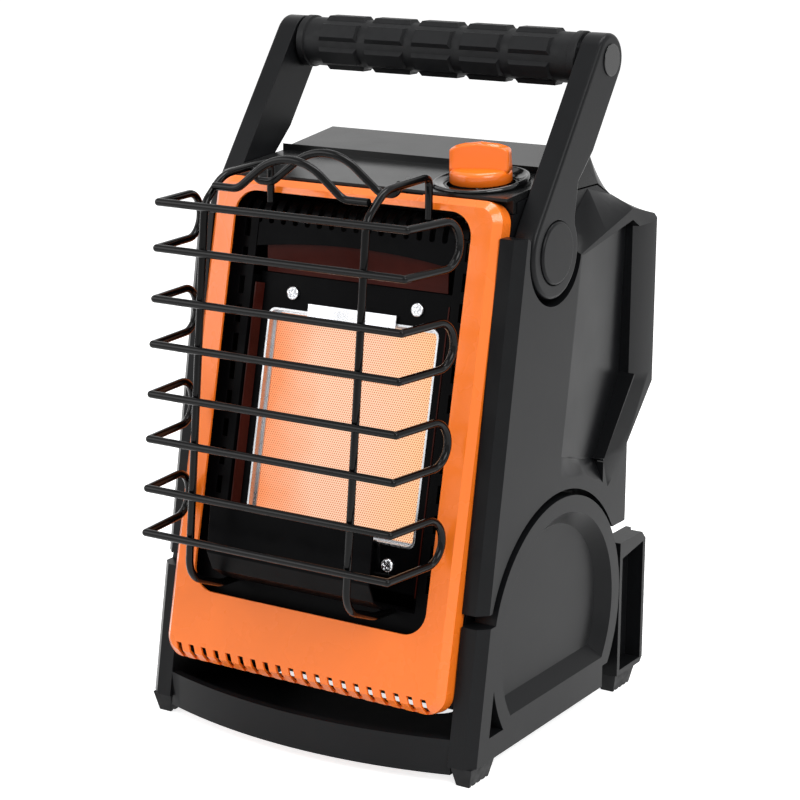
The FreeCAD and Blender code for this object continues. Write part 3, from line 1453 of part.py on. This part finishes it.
def grip_sleeve():
    """The soft sleeve with raised pads, turned along the grip axis."""
    made = body("grip_sleeve", 0, S.grip_back, S.grip_up)
    core, radius, end = S.grip_core_radius, S.grip_radius, S.grip_end
    profile = [
        (-end, core), (end, core), (end, radius + 0.4), (end - 0.6, radius + 1), (end - 4.6, radius + 1),
        (end - 5.2, radius), (5.2 - end, radius), (4.6 - end, radius + 1), (0.6 - end, radius + 1),
        (-end, radius + 0.4),
    ]
    revolve(made, sketch_on(made, "XZ_Plane", 0, [profile]), axis="H_Axis")
    half = S.grip_pad_long / 2
    pads = []
    for place in range(-2, 3):
        middle = place * S.grip_pad_pitch
        low = sketch_on(made, "XY_Plane", radius - 1, [rectangle(middle - half, -5.5, middle + half, 5.5)])
        high = sketch_on(made, "XY_Plane", radius + S.grip_pad_high, [
            rectangle(middle - half + 1.4, -4.1, middle + half - 1.4, 4.1),
        ])
        pads.append(loft(made, low, high))
    ring = made.newObject("PartDesign::PolarPattern", "grip_pad_rows")
    ring.Originals = pads
    ring.Axis = (made.Origin.OriginFeatures[0], [""])
    ring.Angle = 360.0
    ring.Occurrences = 6
    made.Tip = ring
    DOC.recompute()
    return made


def handle():
    for side, name in ((-1, "left"), (1, "right")):
        handle_arm(side, name)
        hinge_cap(side, name)
        grip_bolt(side, name)
    grip_core()
    grip_sleeve()


# Build, check and write

def build():
    base_frame()
    feet()
    tilt_pins()
    main_housing()
    for side, name in ((-1, "left"), (1, "right")):
        side_housing(side, name)
    top_cover()
    front_panel()
    chamber_liner()
    louvre_cover()
    burner_plate()
    ceramic_tile()
    tile_frame()
    tile_bracket()
    plenum()
    for side, name in ((-1, "left"), (1, "right")):
        reflector(side, name)
    reflector_top()
    burner_screws()
    front_shield()
    guard()
    knob_collar()
    knob()
    valve_stem()
    valve_body()
    gas_tube()
    mixing_tube()
    regulator()
    inlet_seal()
    fuel_door()
    door_hinge_pin()
    door_latch()
    handle()


def faults():
    found = []
    for thing in DOC.Objects:
        if "Invalid" in thing.State or "Error" in thing.State:
            found.append(f"{thing.Label}: {thing.State}")
    for label, piece in PIECES.items():
        if piece.Shape.isNull() or not piece.Shape.isValid():
            found.append(f"{label}: its shape is empty or not valid")
    return found


build()
DOC.recompute()
trouble = faults()
if trouble:
    raise SystemExit("\n".join(trouble))
os.makedirs("parts", exist_ok=True)
for name, piece in PIECES.items():
    piece.Shape.exportStep(f"parts/{name}.step")
print(f"{len(PIECES)} pieces written")
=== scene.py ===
"""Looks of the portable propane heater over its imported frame.

Materials, softened edges, a few fuller mesh pieces, the light and the camera.
"""
import json
import math

import bmesh
import bpy
from mathutils import Matrix, Quaternion, Vector

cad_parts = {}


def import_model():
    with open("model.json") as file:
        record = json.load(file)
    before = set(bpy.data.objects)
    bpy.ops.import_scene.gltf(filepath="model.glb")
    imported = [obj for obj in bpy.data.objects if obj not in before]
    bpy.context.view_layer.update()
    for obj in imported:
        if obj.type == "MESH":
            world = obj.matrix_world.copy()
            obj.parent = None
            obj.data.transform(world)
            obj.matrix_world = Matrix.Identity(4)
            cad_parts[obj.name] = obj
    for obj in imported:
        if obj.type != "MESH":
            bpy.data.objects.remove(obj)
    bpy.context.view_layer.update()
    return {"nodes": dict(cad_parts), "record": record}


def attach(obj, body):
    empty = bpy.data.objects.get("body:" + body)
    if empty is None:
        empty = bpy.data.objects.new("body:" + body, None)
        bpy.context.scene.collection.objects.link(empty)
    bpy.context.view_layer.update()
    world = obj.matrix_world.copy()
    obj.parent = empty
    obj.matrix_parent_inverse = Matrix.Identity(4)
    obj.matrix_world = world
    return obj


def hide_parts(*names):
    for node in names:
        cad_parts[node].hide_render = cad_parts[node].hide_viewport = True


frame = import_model()
NODES = frame["nodes"]
RECORD = frame["record"]
BODY_OF = {node: body for body, nodes in RECORD["behaviour"]["bodies"].items() for node in nodes}
SLOT_OF = {part["node"]: part["material_slot"] for part in RECORD["subparts"]}

MM = 0.001


# Front panel: places on it are across, deep and up, in millimetres

PANEL_LEAN = math.radians(12.0)
PANEL_FRONT = -60.8
PANEL_MIDDLE = 190


def on_panel(across, deep, up):
    """A place in millimetres in the leaning frame of the front panel."""
    sine, cosine = math.sin(PANEL_LEAN), math.cos(PANEL_LEAN)
    back = PANEL_FRONT + deep * cosine + up * sine
    return Vector((across, back, PANEL_MIDDLE - deep * sine + up * cosine)) * MM


# Materials

class Look:
    """A material under construction: one Principled shader and the nodes that feed it."""

    def __init__(self, name):
        self.material = bpy.data.materials.new(name)
        self.material.use_nodes = True
        self.tree = self.material.node_tree
        self.shader = self.tree.nodes["Principled BSDF"]

    def node(self, kind, **settings):
        made = self.tree.nodes.new(kind)
        for key, value in settings.items():
            setattr(made, key, value)
        return made

    def link(self, source, target):
        self.tree.links.new(source, target)

    def constants(self, **values):
        for key, value in values.items():
            self.shader.inputs[key.replace("_", " ")].default_value = value

    def place(self, turn=(0, 0, 0), stretch=(1, 1, 1)):
        """Texture place in metres of the piece's own frame, turned and stretched."""
        coordinates = self.node("ShaderNodeTexCoord")
        mapping = self.node("ShaderNodeMapping")
        mapping.inputs["Rotation"].default_value = turn
        mapping.inputs["Scale"].default_value = stretch
        self.link(coordinates.outputs["Object"], mapping.inputs["Vector"])
        return mapping.outputs["Vector"]

    def noise(self, scale, detail=3.0, rough=0.5, place=None):
        made = self.node("ShaderNodeTexNoise")
        made.inputs["Scale"].default_value = scale
        made.inputs["Detail"].default_value = detail
        made.inputs["Roughness"].default_value = rough
        self.link(place or self.place(), made.inputs["Vector"])
        return made.outputs["Fac"]

    def spread(self, value, low, high, start=0.3, end=0.7):
        """The value from start to end, spread over low to high."""
        made = self.node("ShaderNodeMapRange")
        for key, number in (("From Min", start), ("From Max", end), ("To Min", low), ("To Max", high)):
            made.inputs[key].default_value = number
        self.link(value, made.inputs["Value"])
        return made.outputs["Result"]

    def mix(self, factor, first, second):
        """The first colour where the factor is 0, the second where it is 1."""
        made = self.node("ShaderNodeMix", data_type="RGBA")
        self.link(factor, made.inputs["Factor"])
        for socket, colour in ((made.inputs["A"], first), (made.inputs["B"], second)):
            if isinstance(colour, tuple):
                socket.default_value = (*colour, 1)
            else:
                self.link(colour, socket)
        return made.outputs["Result"]

    def math(self, operation, first, second=0.0):
        made = self.node("ShaderNodeMath", operation=operation)
        for socket, value in zip(made.inputs, (first, second)):
            if isinstance(value, (int, float)):
                socket.default_value = value
            else:
                self.link(value, socket)
        return made.outputs["Value"]

    def colour(self, source):
        self.link(source, self.shader.inputs["Base Color"])

    def roughness(self, source):
        self.link(source, self.shader.inputs["Roughness"])

    def bump(self, height, distance, strength=1.0, under=None):
        made = self.node("ShaderNodeBump")
        made.inputs["Distance"].default_value = distance
        made.inputs["Strength"].default_value = strength
        self.link(height, made.inputs["Height"])
        if under is not None:
            self.link(under, made.inputs["Normal"])
        self.link(made.outputs["Normal"], self.shader.inputs["Normal"])
        return made.outputs["Normal"]


def shade(tone, share):
    """A colour made darker or lighter by a share."""
    return tuple(c * share for c in tone)


def moulded_plastic(name, tone, low_rough, high_rough, grain, shine):
    """Charcoal moulded plastic: fine spark-eroded grain, faint flow marks and dust-dulled areas."""
    look = Look(name)
    flow = look.noise(scale=14, detail=4, rough=0.6)
    grit = look.noise(scale=900, detail=2, rough=0.6)
    look.colour(look.mix(look.spread(flow, 0, 1), shade(tone, 0.82), shade(tone, 1.2)))
    look.roughness(look.spread(flow, low_rough, high_rough))
    under = look.bump(look.noise(scale=60, detail=2), distance=0.0004, strength=0.06)
    look.bump(grit, distance=grain, strength=0.4, under=under)
    look.constants(Specular_IOR_Level=shine)
    return look.material


def gloss_enamel(name, tone, rough, peel, coat, shine):
    """Baked enamel or glossy plastic: even colour, orange-peel skin and a clear gloss."""
    look = Look(name)
    cloud = look.noise(scale=9, detail=3)
    look.colour(look.mix(look.spread(cloud, 0, 1), shade(tone, 0.93), tone))
    look.roughness(look.spread(look.noise(scale=40, detail=3), rough * 0.85, rough * 1.2))
    look.bump(look.noise(scale=420, detail=2, rough=0.4), distance=peel, strength=0.25)
    look.constants(Coat_Weight=coat, Coat_Roughness=0.08, Specular_IOR_Level=shine)
    return look.material


def chamber_enamel(name, tone, low_rough, high_rough, shine):
    """Heat-proof enamel, a little browned and dulled by the burner."""
    look = Look(name)
    cloud = look.noise(scale=22, detail=5, rough=0.65)
    look.colour(look.mix(look.spread(cloud, 0, 1), tone, shade(tone, 1.8)))
    look.roughness(look.spread(look.noise(scale=90, detail=4), low_rough, high_rough))
    look.bump(look.noise(scale=700, detail=2), distance=0.00005, strength=0.3)
    look.constants(Specular_IOR_Level=shine)
    return look.material


def brushed_metal(name, tone, along=(1, 1, 1), low_rough=0.22, high_rough=0.4, tint=None):
    """Rolled or brushed metal: fine lines one way and cloudy tarnish."""
    look = Look(name)
    lines = look.noise(scale=500, detail=4, rough=0.6, place=look.place(stretch=along))
    cloud = look.noise(scale=30, detail=4, rough=0.6)
    look.colour(look.mix(look.spread(cloud, 0, 1), tint or shade(tone, 0.78), tone))
    look.roughness(look.spread(lines, low_rough, high_rough))
    look.bump(lines, distance=0.00006, strength=0.35)
    look.constants(Metallic=1.0)
    return look.material


def soft_rubber(name, tone):
    """Dark rubber: dull, with a fine grain."""
    look = Look(name)
    look.colour(look.mix(look.spread(look.noise(scale=40, detail=4), 0, 1), shade(tone, 0.75), tone))
    look.roughness(look.spread(look.noise(scale=200, detail=3), 0.42, 0.62))
    look.bump(look.noise(scale=1100, detail=2), distance=0.00006, strength=0.5)
    look.constants(Specular_IOR_Level=0.16)
    return look.material


HOLE_PITCH = 1.45 * MM
ROW_PITCH = 1.732
GLOW_ORANGE = (0.98, 0.29, 0.1)
GLOW_PALE = (1.0, 0.64, 0.45)
GLOW_YELLOW = (1.0, 0.62, 0.31)
HOLE_GLOW = (0.6, 0.16, 0.06)


def glowing_ceramic():
    """The lit tile: fine staggered holes, pale in the middle, orange at its left, yellower at its right."""
    look = Look("glowing ceramic")
    place = look.place(turn=(PANEL_LEAN, 0, 0))
    split = look.node("ShaderNodeSeparateXYZ")
    look.link(place, split.inputs["Vector"])
    across, up = split.outputs["X"], split.outputs["Z"]
    hole = look.spread(hole_distance(look, across, up), 1, 0, start=0.2, end=0.36)
    cloud = look.math("MULTIPLY", look.math("SUBTRACT", look.noise(scale=24, detail=3), 0.5), 0.05)
    drift = look.math("ADD", across, cloud)
    left = look.spread(drift, 1, 0, start=-0.054, end=-0.018)
    right = look.spread(drift, 0, 1, start=0.018, end=0.056)
    face = look.mix(left, look.mix(right, GLOW_PALE, GLOW_YELLOW), GLOW_ORANGE)
    look.link(look.mix(hole, face, HOLE_GLOW), look.shader.inputs["Emission Color"])
    # Painted shade: the holes are drawn, not cut, and take a darker colour for the shade inside them.
    look.colour(look.mix(hole, (0.3, 0.18, 0.12), (0.1, 0.03, 0.01)))
    look.constants(Emission_Strength=0.93, Roughness=0.85, Specular_IOR_Level=0.1)
    look.bump(hole, distance=0.0004, strength=-0.4)
    return look.material


def hole_distance(look, across, up):
    """Distance to the nearest hole of a staggered pattern, in hole spacings."""
    nearest = None
    for shift in (0.0, 0.5):
        column = look.math("FRACT", look.math("ADD", look.math("DIVIDE", across, HOLE_PITCH), shift))
        rows_up = look.math("DIVIDE", up, HOLE_PITCH * ROW_PITCH)
        row = look.math("FRACT", look.math("ADD", rows_up, shift))
        side = look.math("SUBTRACT", column, 0.5)
        rise = look.math("MULTIPLY", look.math("SUBTRACT", row, 0.5), ROW_PITCH)
        reach = look.math("ADD", look.math("MULTIPLY", side, side), look.math("MULTIPLY", rise, rise))
        far = look.math("SQRT", reach)
        nearest = far if nearest is None else look.math("MINIMUM", nearest, far)
    return nearest


LOOKS = {
    "black_plastic": moulded_plastic(
        "charcoal plastic", (0.0058, 0.0061, 0.0068),
        low_rough=0.28, high_rough=0.38, grain=0.00004, shine=0.12,
    ),
    "gloss_black": gloss_enamel(
        "gloss black plastic", (0.003, 0.003, 0.0033), rough=0.12, peel=0.00001, coat=0.15, shine=0.4,
    ),
    "orange_plastic": gloss_enamel(
        "orange plastic", (1.0, 0.19, 0.012), rough=0.24, peel=0.00002, coat=0.2, shine=0.4,
    ),
    "orange_paint": gloss_enamel(
        "orange enamel", (1.0, 0.2, 0.014), rough=0.26, peel=0.00002, coat=0.3, shine=0.4,
    ),
    "black_enamel": chamber_enamel(
        "chamber enamel", (0.001, 0.001, 0.0012), low_rough=0.3, high_rough=0.45, shine=0.035,
    ),
    "black_wire": gloss_enamel(
        "wire enamel", (0.0012, 0.0012, 0.0014), rough=0.14, peel=0.00001, coat=0.08, shine=0.12,
    ),
    # Painted reflection: the reflectors' dark red tone stands for the tile's red glow reflected in them.
    "reflector": chamber_enamel(
        "reflector with painted glow reflection", (0.026, 0.004, 0.0025), low_rough=0.16, high_rough=0.26, shine=0.06,
    ),
    "lid_plastic": moulded_plastic(
        "lid plastic", (0.008, 0.0083, 0.0085),
        low_rough=0.2, high_rough=0.3, grain=0.00002, shine=0.22,
    ),
    "ceramic": glowing_ceramic(),
    "steel": brushed_metal("zinc-plated steel", (0.62, 0.63, 0.65)),
    "bright_steel": brushed_metal(
        "bright steel", (0.8, 0.81, 0.84), along=(1, 1, 0.05), low_rough=0.2, high_rough=0.3,
    ),
    "brass": brushed_metal("brass", (0.72, 0.52, 0.25), along=(1, 1, 0.2), tint=(0.5, 0.33, 0.15)),
    "rubber": soft_rubber("grip rubber", (0.0065, 0.0068, 0.0075)),
}
OWN_LOOK = {
    "reflector_left": "reflector", "reflector_right": "reflector", "reflector_top": "reflector",
    "top_cover": "lid_plastic",
}


def look_of(node):
    """The name of a node's look: its material slot's, unless it has one of its own."""
    return OWN_LOOK.get(node, SLOT_OF[node])


def paint(thing, look_name):
    thing.data.materials.clear()
    thing.data.materials.append(LOOKS[look_name])


# Softened copies of the moulded and pressed pieces, with the width of their edges in millimetres

SOFT_EDGES = {
    "base_frame": 0.9, "main_housing": 0.7, "side_housing_left": 1.0, "side_housing_right": 1.0,
    "top_cover": 0.9, "front_panel": 1.9, "handle_arm_left": 1.1, "handle_arm_right": 1.1,
    "hinge_cap_left": 0.5, "hinge_cap_right": 0.5, "grip_bolt_left": 0.35, "grip_bolt_right": 0.35,
    "grip_sleeve": 0.7, "fuel_door": 0.4, "door_latch": 0.5,
    "foot_front_left": 0.5, "foot_front_right": 0.5, "foot_rear_left": 0.5, "foot_rear_right": 0.5,
    "front_shield": 0.25, "louvre_cover": 0.2, "chamber_liner": 0.2, "tile_frame": 0.2,
    "tile_bracket": 0.3, "burner_plate": 0.2,
}


def softened(node, width):
    """A copy of a CAD node with its edges rounded, which stands for the node."""
    source = NODES[node]
    mesh = source.data.copy()
    copy = bpy.data.objects.new(f"{node}_soft", mesh)
    bpy.context.scene.collection.objects.link(copy)
    copy.matrix_world = source.matrix_world.copy()
    form = bmesh.new()
    form.from_mesh(mesh)
    bmesh.ops.remove_doubles(form, verts=form.verts, dist=0.00001)
    bmesh.ops.dissolve_limit(
        form, angle_limit=math.radians(0.8), verts=form.verts, edges=form.edges, delimit=set(),
    )
    form.to_mesh(mesh)
    form.free()
    smooth(mesh)
    bevel = copy.modifiers.new("edges", "BEVEL")
    bevel.width = width * MM
    bevel.segments = 3
    bevel.limit_method = "ANGLE"
    bevel.angle_limit = math.radians(28)
    bevel.use_clamp_overlap = True
    flatten = copy.modifiers.new("flat faces", "WEIGHTED_NORMAL")
    flatten.weight = 100
    flatten.keep_sharp = True
    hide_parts(node)
    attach(copy, BODY_OF[node])
    paint(copy, look_of(node))


def smooth(mesh):
    for face in mesh.polygons:
        face.use_smooth = True


# Pieces whose mesh is made here

def piece(name, form, node, slot, replaces=True):
    """A mesh piece on the body of a node, which it replaces unless it only adds to it."""
    mesh = bpy.data.meshes.new(name)
    bmesh.ops.recalc_face_normals(form, faces=form.faces)
    form.to_mesh(mesh)
    form.free()
    smooth(mesh)
    made = bpy.data.objects.new(name, mesh)
    bpy.context.scene.collection.objects.link(made)
    if replaces:
        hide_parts(node)
    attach(made, BODY_OF[node])
    paint(made, slot)


def rings_to_skin(form, rings):
    """Faces between rings of points; a ring may be one point, and then closes the skin as a fan."""
    made = [[form.verts.new(point) for point in ring] for ring in rings]
    for low, high in zip(made, made[1:]):
        count = max(len(low), len(high))
        for i in range(count):
            j = (i + 1) % count
            corners = [low[i % len(low)], low[j % len(low)], high[j % len(high)], high[i % len(high)]]
            form.faces.new(list(dict.fromkeys(corners)))


def round_angles(steps):
    return [2 * math.pi * i / steps for i in range(steps)]


def spun(radius, up, angle):
    """A point of a profile, turned to an angle about the upright axis."""
    return radius * math.cos(angle), radius * math.sin(angle), up


def ring_at(radius, up, angles):
    return [spun(radius, up, angle) for angle in angles]


# Knob and the ring round it, in millimetres about the knob's axis

KNOB_AXIS = Vector((61.0, 0.6, 317.3)) * MM
DECK_LEAN = math.atan2(4.8, 59.5)
KNOB_TURN = math.radians(16)
KNOB_RADIUS = 17.3
KNOB_HIGH = 22.3
SKIRT_FOOT = 0.8
SKIRT_TOP = 9.7
BAR_FOOT = 7.0
BAR_HALF_WIDTH = 4.6
BAR_FLARE = 2.4
BAR_ARCH = 3.4
COLLAR_LOW = 1.4
COLLAR_RISE = 3.2
COLLAR_HIGHEST_AT = math.radians(55)


def on_deck(turn=0.0):
    """From millimetres about the knob's axis, square to the deck, to the frame."""
    return (Matrix.Translation(KNOB_AXIS) @ Matrix.Rotation(DECK_LEAN, 4, "X")
            @ Matrix.Rotation(turn, 4, "Z") @ Matrix.Scale(MM, 4))


def knob_form():
    """The knob: a thick round skirt and a grip bar as long as the skirt is wide, waisted and arched."""
    form = bmesh.new()
    angles = round_angles(64)
    profile = [
        (3.3, SKIRT_FOOT), (KNOB_RADIUS - 0.6, SKIRT_FOOT), (KNOB_RADIUS, 1.4), (KNOB_RADIUS, 6.0),
        (KNOB_RADIUS - 0.3, 7.2), (KNOB_RADIUS - 1.2, 8.2), (KNOB_RADIUS - 2.6, 8.8),
        (KNOB_RADIUS - 6, 9.3), (6, 9.6), (1, SKIRT_TOP),
    ]
    skirt = [ring_at(radius, up, angles) for radius, up in profile]
    rings_to_skin(form, [[(0, 0, SKIRT_FOOT)]] + skirt + [[(0, 0, SKIRT_TOP)]])
    stages = [
        (0, 1.0), (0.2, 1.0), (0.45, 1.0), (0.7, 1.0),
        (0.88, 1.0), (0.95, 0.99), (0.985, 0.965), (1.0, 0.92),
    ]
    rings = []
    for share, shrink in stages:
        thick = BAR_HALF_WIDTH + BAR_FLARE * (1 - share) ** 2
        rings.append([bar_point(angle, share, shrink, thick) for angle in angles])
    top = [[(x * 0.5, y * 0.5, up + 0.05) for x, y, up in rings[-1]], [(0, 0, KNOB_HIGH)]]
    rings_to_skin(form, [[(0, 0, BAR_FOOT)]] + rings + top)
    bmesh.ops.transform(form, matrix=on_deck(KNOB_TURN), verts=form.verts)
    return form


def bar_point(angle, share, shrink, thick):
    """A point of the grip bar: a rounded oblong, higher in the middle of its length."""
    across = rounded(math.cos(angle), 0.22) * (KNOB_RADIUS - 0.4) * shrink
    side = rounded(math.sin(angle), 0.3) * thick * shrink
    top = KNOB_HIGH - BAR_ARCH * (across / KNOB_RADIUS) ** 2
    return across, side, BAR_FOOT + (top - BAR_FOOT) * share


def rounded(value, power):
    """A sine or cosine swelled towards 1: the smaller the power, the squarer the outline."""
    return math.copysign(abs(value) ** power, value)


def collar_form():
    """The glossy ring round the knob: low in front, raised behind and at the right."""
    form = bmesh.new()
    sections = []
    for angle in round_angles(72):
        lift = COLLAR_LOW + COLLAR_RISE * (0.5 + 0.5 * math.cos(angle - COLLAR_HIGHEST_AT)) ** 1.5
        profile = [
            (20.4, 0.05), (20.4, 0.5), (21.6, 0.8 + lift * 0.25), (24.0, 0.55 * lift + 0.3),
            (25.0, 0.95 * lift), (25.8, lift + 0.25), (26.7, lift), (27.4, 0.6 * lift), (27.5, 0.05),
        ]
        sections.append([spun(radius, up, angle) for radius, up in profile])
    rings = [list(ring) for ring in zip(*sections)]
    rings_to_skin(form, rings + [rings[0]])
    bmesh.ops.remove_doubles(form, verts=form.verts, dist=0.0001)
    bmesh.ops.transform(form, matrix=on_deck(), verts=form.verts)
    return form


# Burner screws

SCREW_ACROSS = 41.6
SCREW_LEVELS = (64.2, -78.0)
PLATE_DEPTH = 15.0
HEAD_RADIUS = 4.0
HEAD_HIGH = 2.6
HEAD_RIM = 0.9
SHANK_RADIUS = 1.9
SHANK_END = -3.0
CROSS_HALF = 0.75
CROSS_REACH = 2.6
CROSS_DEPTH = 1.1
CROSS_SIDE_SLOPE = 0.3
CROSS_END_SLOPE = 0.4


def screw_heads():
    """Four pan heads, each a dome with a cross recess, on the burner plate."""
    form = bmesh.new()
    facing = Matrix.Rotation(math.pi / 2 - PANEL_LEAN, 4, "X")
    for up in SCREW_LEVELS:
        for across in (-SCREW_ACROSS, SCREW_ACROSS):
            place = Matrix.Translation(on_panel(across, PLATE_DEPTH, up))
            # The left and right screws' crosses stand at different angles
            turn = Matrix.Rotation(math.radians(20 + across), 4, "Z")
            head = bmesh.new()
            pan_head(head)
            bmesh.ops.transform(head, matrix=place @ facing @ turn @ Matrix.Scale(MM, 4), verts=head.verts)
            mesh = bpy.data.meshes.new("one head")
            head.to_mesh(mesh)
            head.free()
            form.from_mesh(mesh)
            bpy.data.meshes.remove(mesh)
    return form


def pan_head(form):
    """A pan head and the start of its shank, in millimetres, upright on its seat."""
    angles = round_angles(48)
    sides = ((SHANK_RADIUS, SHANK_END), (SHANK_RADIUS, 0.0), (HEAD_RADIUS, 0.0), (HEAD_RADIUS, HEAD_RIM))
    rings = [ring_at(radius, up, angles) for radius, up in sides]
    for share in (0.97, 0.9, 0.8, 0.7, 0.6, 0.5, 0.4, 0.3, 0.2, 0.1):
        dome = HEAD_RIM + (HEAD_HIGH - HEAD_RIM) * math.sqrt(max(0.0, 1 - share ** 2.2))
        ring = []
        for angle in angles:
            x = share * HEAD_RADIUS * math.cos(angle)
            y = share * HEAD_RADIUS * math.sin(angle)
            beside = within_unit((CROSS_HALF - min(abs(x), abs(y))) / CROSS_SIDE_SLOPE)
            before_end = within_unit((CROSS_REACH - share * HEAD_RADIUS) / CROSS_END_SLOPE)
            ring.append((x, y, dome - CROSS_DEPTH * beside * before_end))
        rings.append(ring)
    rings_to_skin(form, [[(0, 0, SHANK_END)]] + rings + [[(0, 0, HEAD_HIGH - CROSS_DEPTH)]])


def within_unit(value):
    return min(1.0, max(0.0, value))


# Pilot parts, under the tile at the right

ROD_RADIUS = 0.9
HOOK_BEND = 4
ROD_DEPTH = 11
BRACKET_SIDES = (38, 57)
BRACKET_FRONT = 7.0
BRACKET_BACK = 14.8
BRACKET_WALL = 1.2
BRACKET_LEVELS = (-81.6, -83.2)


def rod(form, route, radius):
    """A round rod through points in metres, with flat ends."""
    rings = []
    for i, place in enumerate(route):
        along = (route[min(i + 1, len(route) - 1)] - route[max(i - 1, 0)]).normalized()
        side = along.orthogonal() if not rings else side - along * side.dot(along)
        side = side.normalized()
        other = along.cross(side)
        angles = round_angles(16)
        rings.append([place + (side * math.cos(a) + other * math.sin(a)) * radius * MM for a in angles])
    rings_to_skin(form, [[route[0]]] + rings + [[route[-1]]])


def hook_route():
    """From the plate forward and up, over a quarter bend to the right, and down to the bracket."""
    across, top = 33, -65.5
    route = [on_panel(across, 14.6, -69)]
    for degrees in range(0, 91, 15):
        angle = math.radians(degrees)
        up = top - HOOK_BEND * (1 - math.cos(angle))
        route.append(on_panel(across + HOOK_BEND * math.sin(angle), ROD_DEPTH, up))
    return route + [on_panel(37.4, ROD_DEPTH, -74), on_panel(37.4, ROD_DEPTH, -82)]


def folded_bracket(form):
    """A flat bracket of three walls, open towards the burner plate."""
    left, right = BRACKET_SIDES
    wall = BRACKET_WALL
    outline = [
        (left, BRACKET_BACK), (left, BRACKET_FRONT), (right, BRACKET_FRONT), (right, BRACKET_BACK),
        (right - wall, BRACKET_BACK), (right - wall, BRACKET_FRONT + wall),
        (left + wall, BRACKET_FRONT + wall), (left + wall, BRACKET_BACK),
    ]
    upper, lower = [
        [form.verts.new(on_panel(across, deep, up)) for across, deep in outline] for up in BRACKET_LEVELS
    ]
    for i in range(len(outline)):
        j = (i + 1) % len(outline)
        form.faces.new((upper[i], upper[j], lower[j], lower[i]))
    form.faces.new(upper)
    form.faces.new(lower)


def pilot_parts():
    """The spark rod with its hook and the folded bracket that carries it."""
    form = bmesh.new()
    rod(form, hook_route(), ROD_RADIUS)
    folded_bracket(form)
    return form


# The object

piece("pilot_spark_rod", pilot_parts(), "burner_plate", "black_enamel", replaces=False)
piece("knob_form", knob_form(), "knob", SLOT_OF["knob"])
piece("knob_collar_form", collar_form(), "knob_collar", SLOT_OF["knob_collar"])
piece("burner_screw_heads", screw_heads(), "burner_screws", SLOT_OF["burner_screws"])

for node_name, width in SOFT_EDGES.items():
    softened(node_name, width)

for node_name, thing in NODES.items():
    if node_name not in SOFT_EDGES:
        paint(thing, look_of(node_name))


# Floor, light and camera, in metres and degrees

WHITE = (1, 1, 1, 1)
FLOOR_HALF = 6.0
FLOOR_GLOW = 0.78
EVEN_LIGHT = 0.3
LIT_MIDDLE = Vector((0, 0, 0.2))
CAMERA_PLACE = Vector((0.6901, -1.0813, 0.5089))
CAMERA_AIM = Vector((0.0, 0.0152, 0.1829))
CAMERA_LENS = 103.3
CAMERA_ROLL = 0.33


def shown_to_eye(tree):
    """1 for what the camera, a gloss or glass sees, 0 for the light that falls on the object."""
    path = tree.nodes.new("ShaderNodeLightPath")
    total = path.outputs["Is Camera Ray"]
    for ray in ("Is Glossy Ray", "Is Transmission Ray"):
        joined = tree.nodes.new("ShaderNodeMath")
        joined.operation = "MAXIMUM"
        tree.links.new(total, joined.inputs[0])
        tree.links.new(path.outputs[ray], joined.inputs[1])
        total = joined.outputs["Value"]
    return total


def stage_floor():
    """A light floor, which glows for the eye only, so that it fades into the white background."""
    look = Look("studio floor")
    cloud = look.spread(look.noise(scale=3, detail=2), 0, 1)
    look.colour(look.mix(cloud, (0.8, 0.8, 0.8), (0.84, 0.84, 0.84)))
    look.constants(Roughness=0.9, Specular_IOR_Level=0.1)
    glow = look.math("MULTIPLY", shown_to_eye(look.tree), FLOOR_GLOW)
    look.link(glow, look.shader.inputs["Emission Strength"])
    look.shader.inputs["Emission Color"].default_value = WHITE
    corners = [(x * FLOOR_HALF, y * FLOOR_HALF, 0) for x, y in ((-1, -1), (1, -1), (1, 1), (-1, 1))]
    mesh = bpy.data.meshes.new("floor")
    mesh.from_pydata(corners, [], [(0, 1, 2, 3)])
    floor = bpy.data.objects.new("floor", mesh)
    floor.data.materials.append(look.material)
    bpy.context.scene.collection.objects.link(floor)


def world():
    """White behind the object and in its gloss, and a dim even light on it."""
    made = bpy.data.worlds.new("studio")
    made.use_nodes = True
    tree = made.node_tree
    background = tree.nodes["Background"]
    strength = tree.nodes.new("ShaderNodeMapRange")
    strength.inputs["To Min"].default_value = EVEN_LIGHT
    strength.inputs["To Max"].default_value = 1.0
    tree.links.new(shown_to_eye(tree), strength.inputs["Value"])
    tree.links.new(strength.outputs["Result"], background.inputs["Strength"])
    background.inputs["Color"].default_value = WHITE
    bpy.context.scene.world = made


def soft_box(name, place, size, power):
    """A rectangular area light that faces the middle of the object."""
    light = bpy.data.lights.new(name, "AREA")
    light.shape = "RECTANGLE"
    light.size, light.size_y = size
    light.energy = power
    thing = bpy.data.objects.new(name, light)
    thing.location = place
    thing.rotation_euler = (LIT_MIDDLE - Vector(place)).to_track_quat("-Z", "Y").to_euler()
    bpy.context.scene.collection.objects.link(thing)


def camera():
    """The photograph's camera, worked out from the heater's own straight edges."""
    data = bpy.data.cameras.new("camera")
    data.sensor_width = 36.0
    data.lens = CAMERA_LENS
    data.clip_start = 0.05
    thing = bpy.data.objects.new("camera", data)
    towards = (CAMERA_AIM - CAMERA_PLACE).to_track_quat("-Z", "Y")
    turn = towards @ Quaternion((0, 0, 1), math.radians(CAMERA_ROLL))
    thing.matrix_world = Matrix.Translation(CAMERA_PLACE) @ turn.to_matrix().to_4x4()
    bpy.context.scene.collection.objects.link(thing)
    bpy.context.scene.camera = thing


stage_floor()
world()
soft_box("key", place=(1.6, -0.9, 1.5), size=(1.2, 1.2), power=30)
soft_box("fill", place=(-1.5, -1.4, 1.1), size=(1.4, 1.4), power=18)
soft_box("top", place=(0.1, 0.2, 2.0), size=(0.6, 1.4), power=20)
soft_box("side strip", place=(1.5, 0.9, 0.7), size=(0.2, 1.4), power=2.5)
camera()
bpy.context.scene.view_settings.view_transform = "Standard"
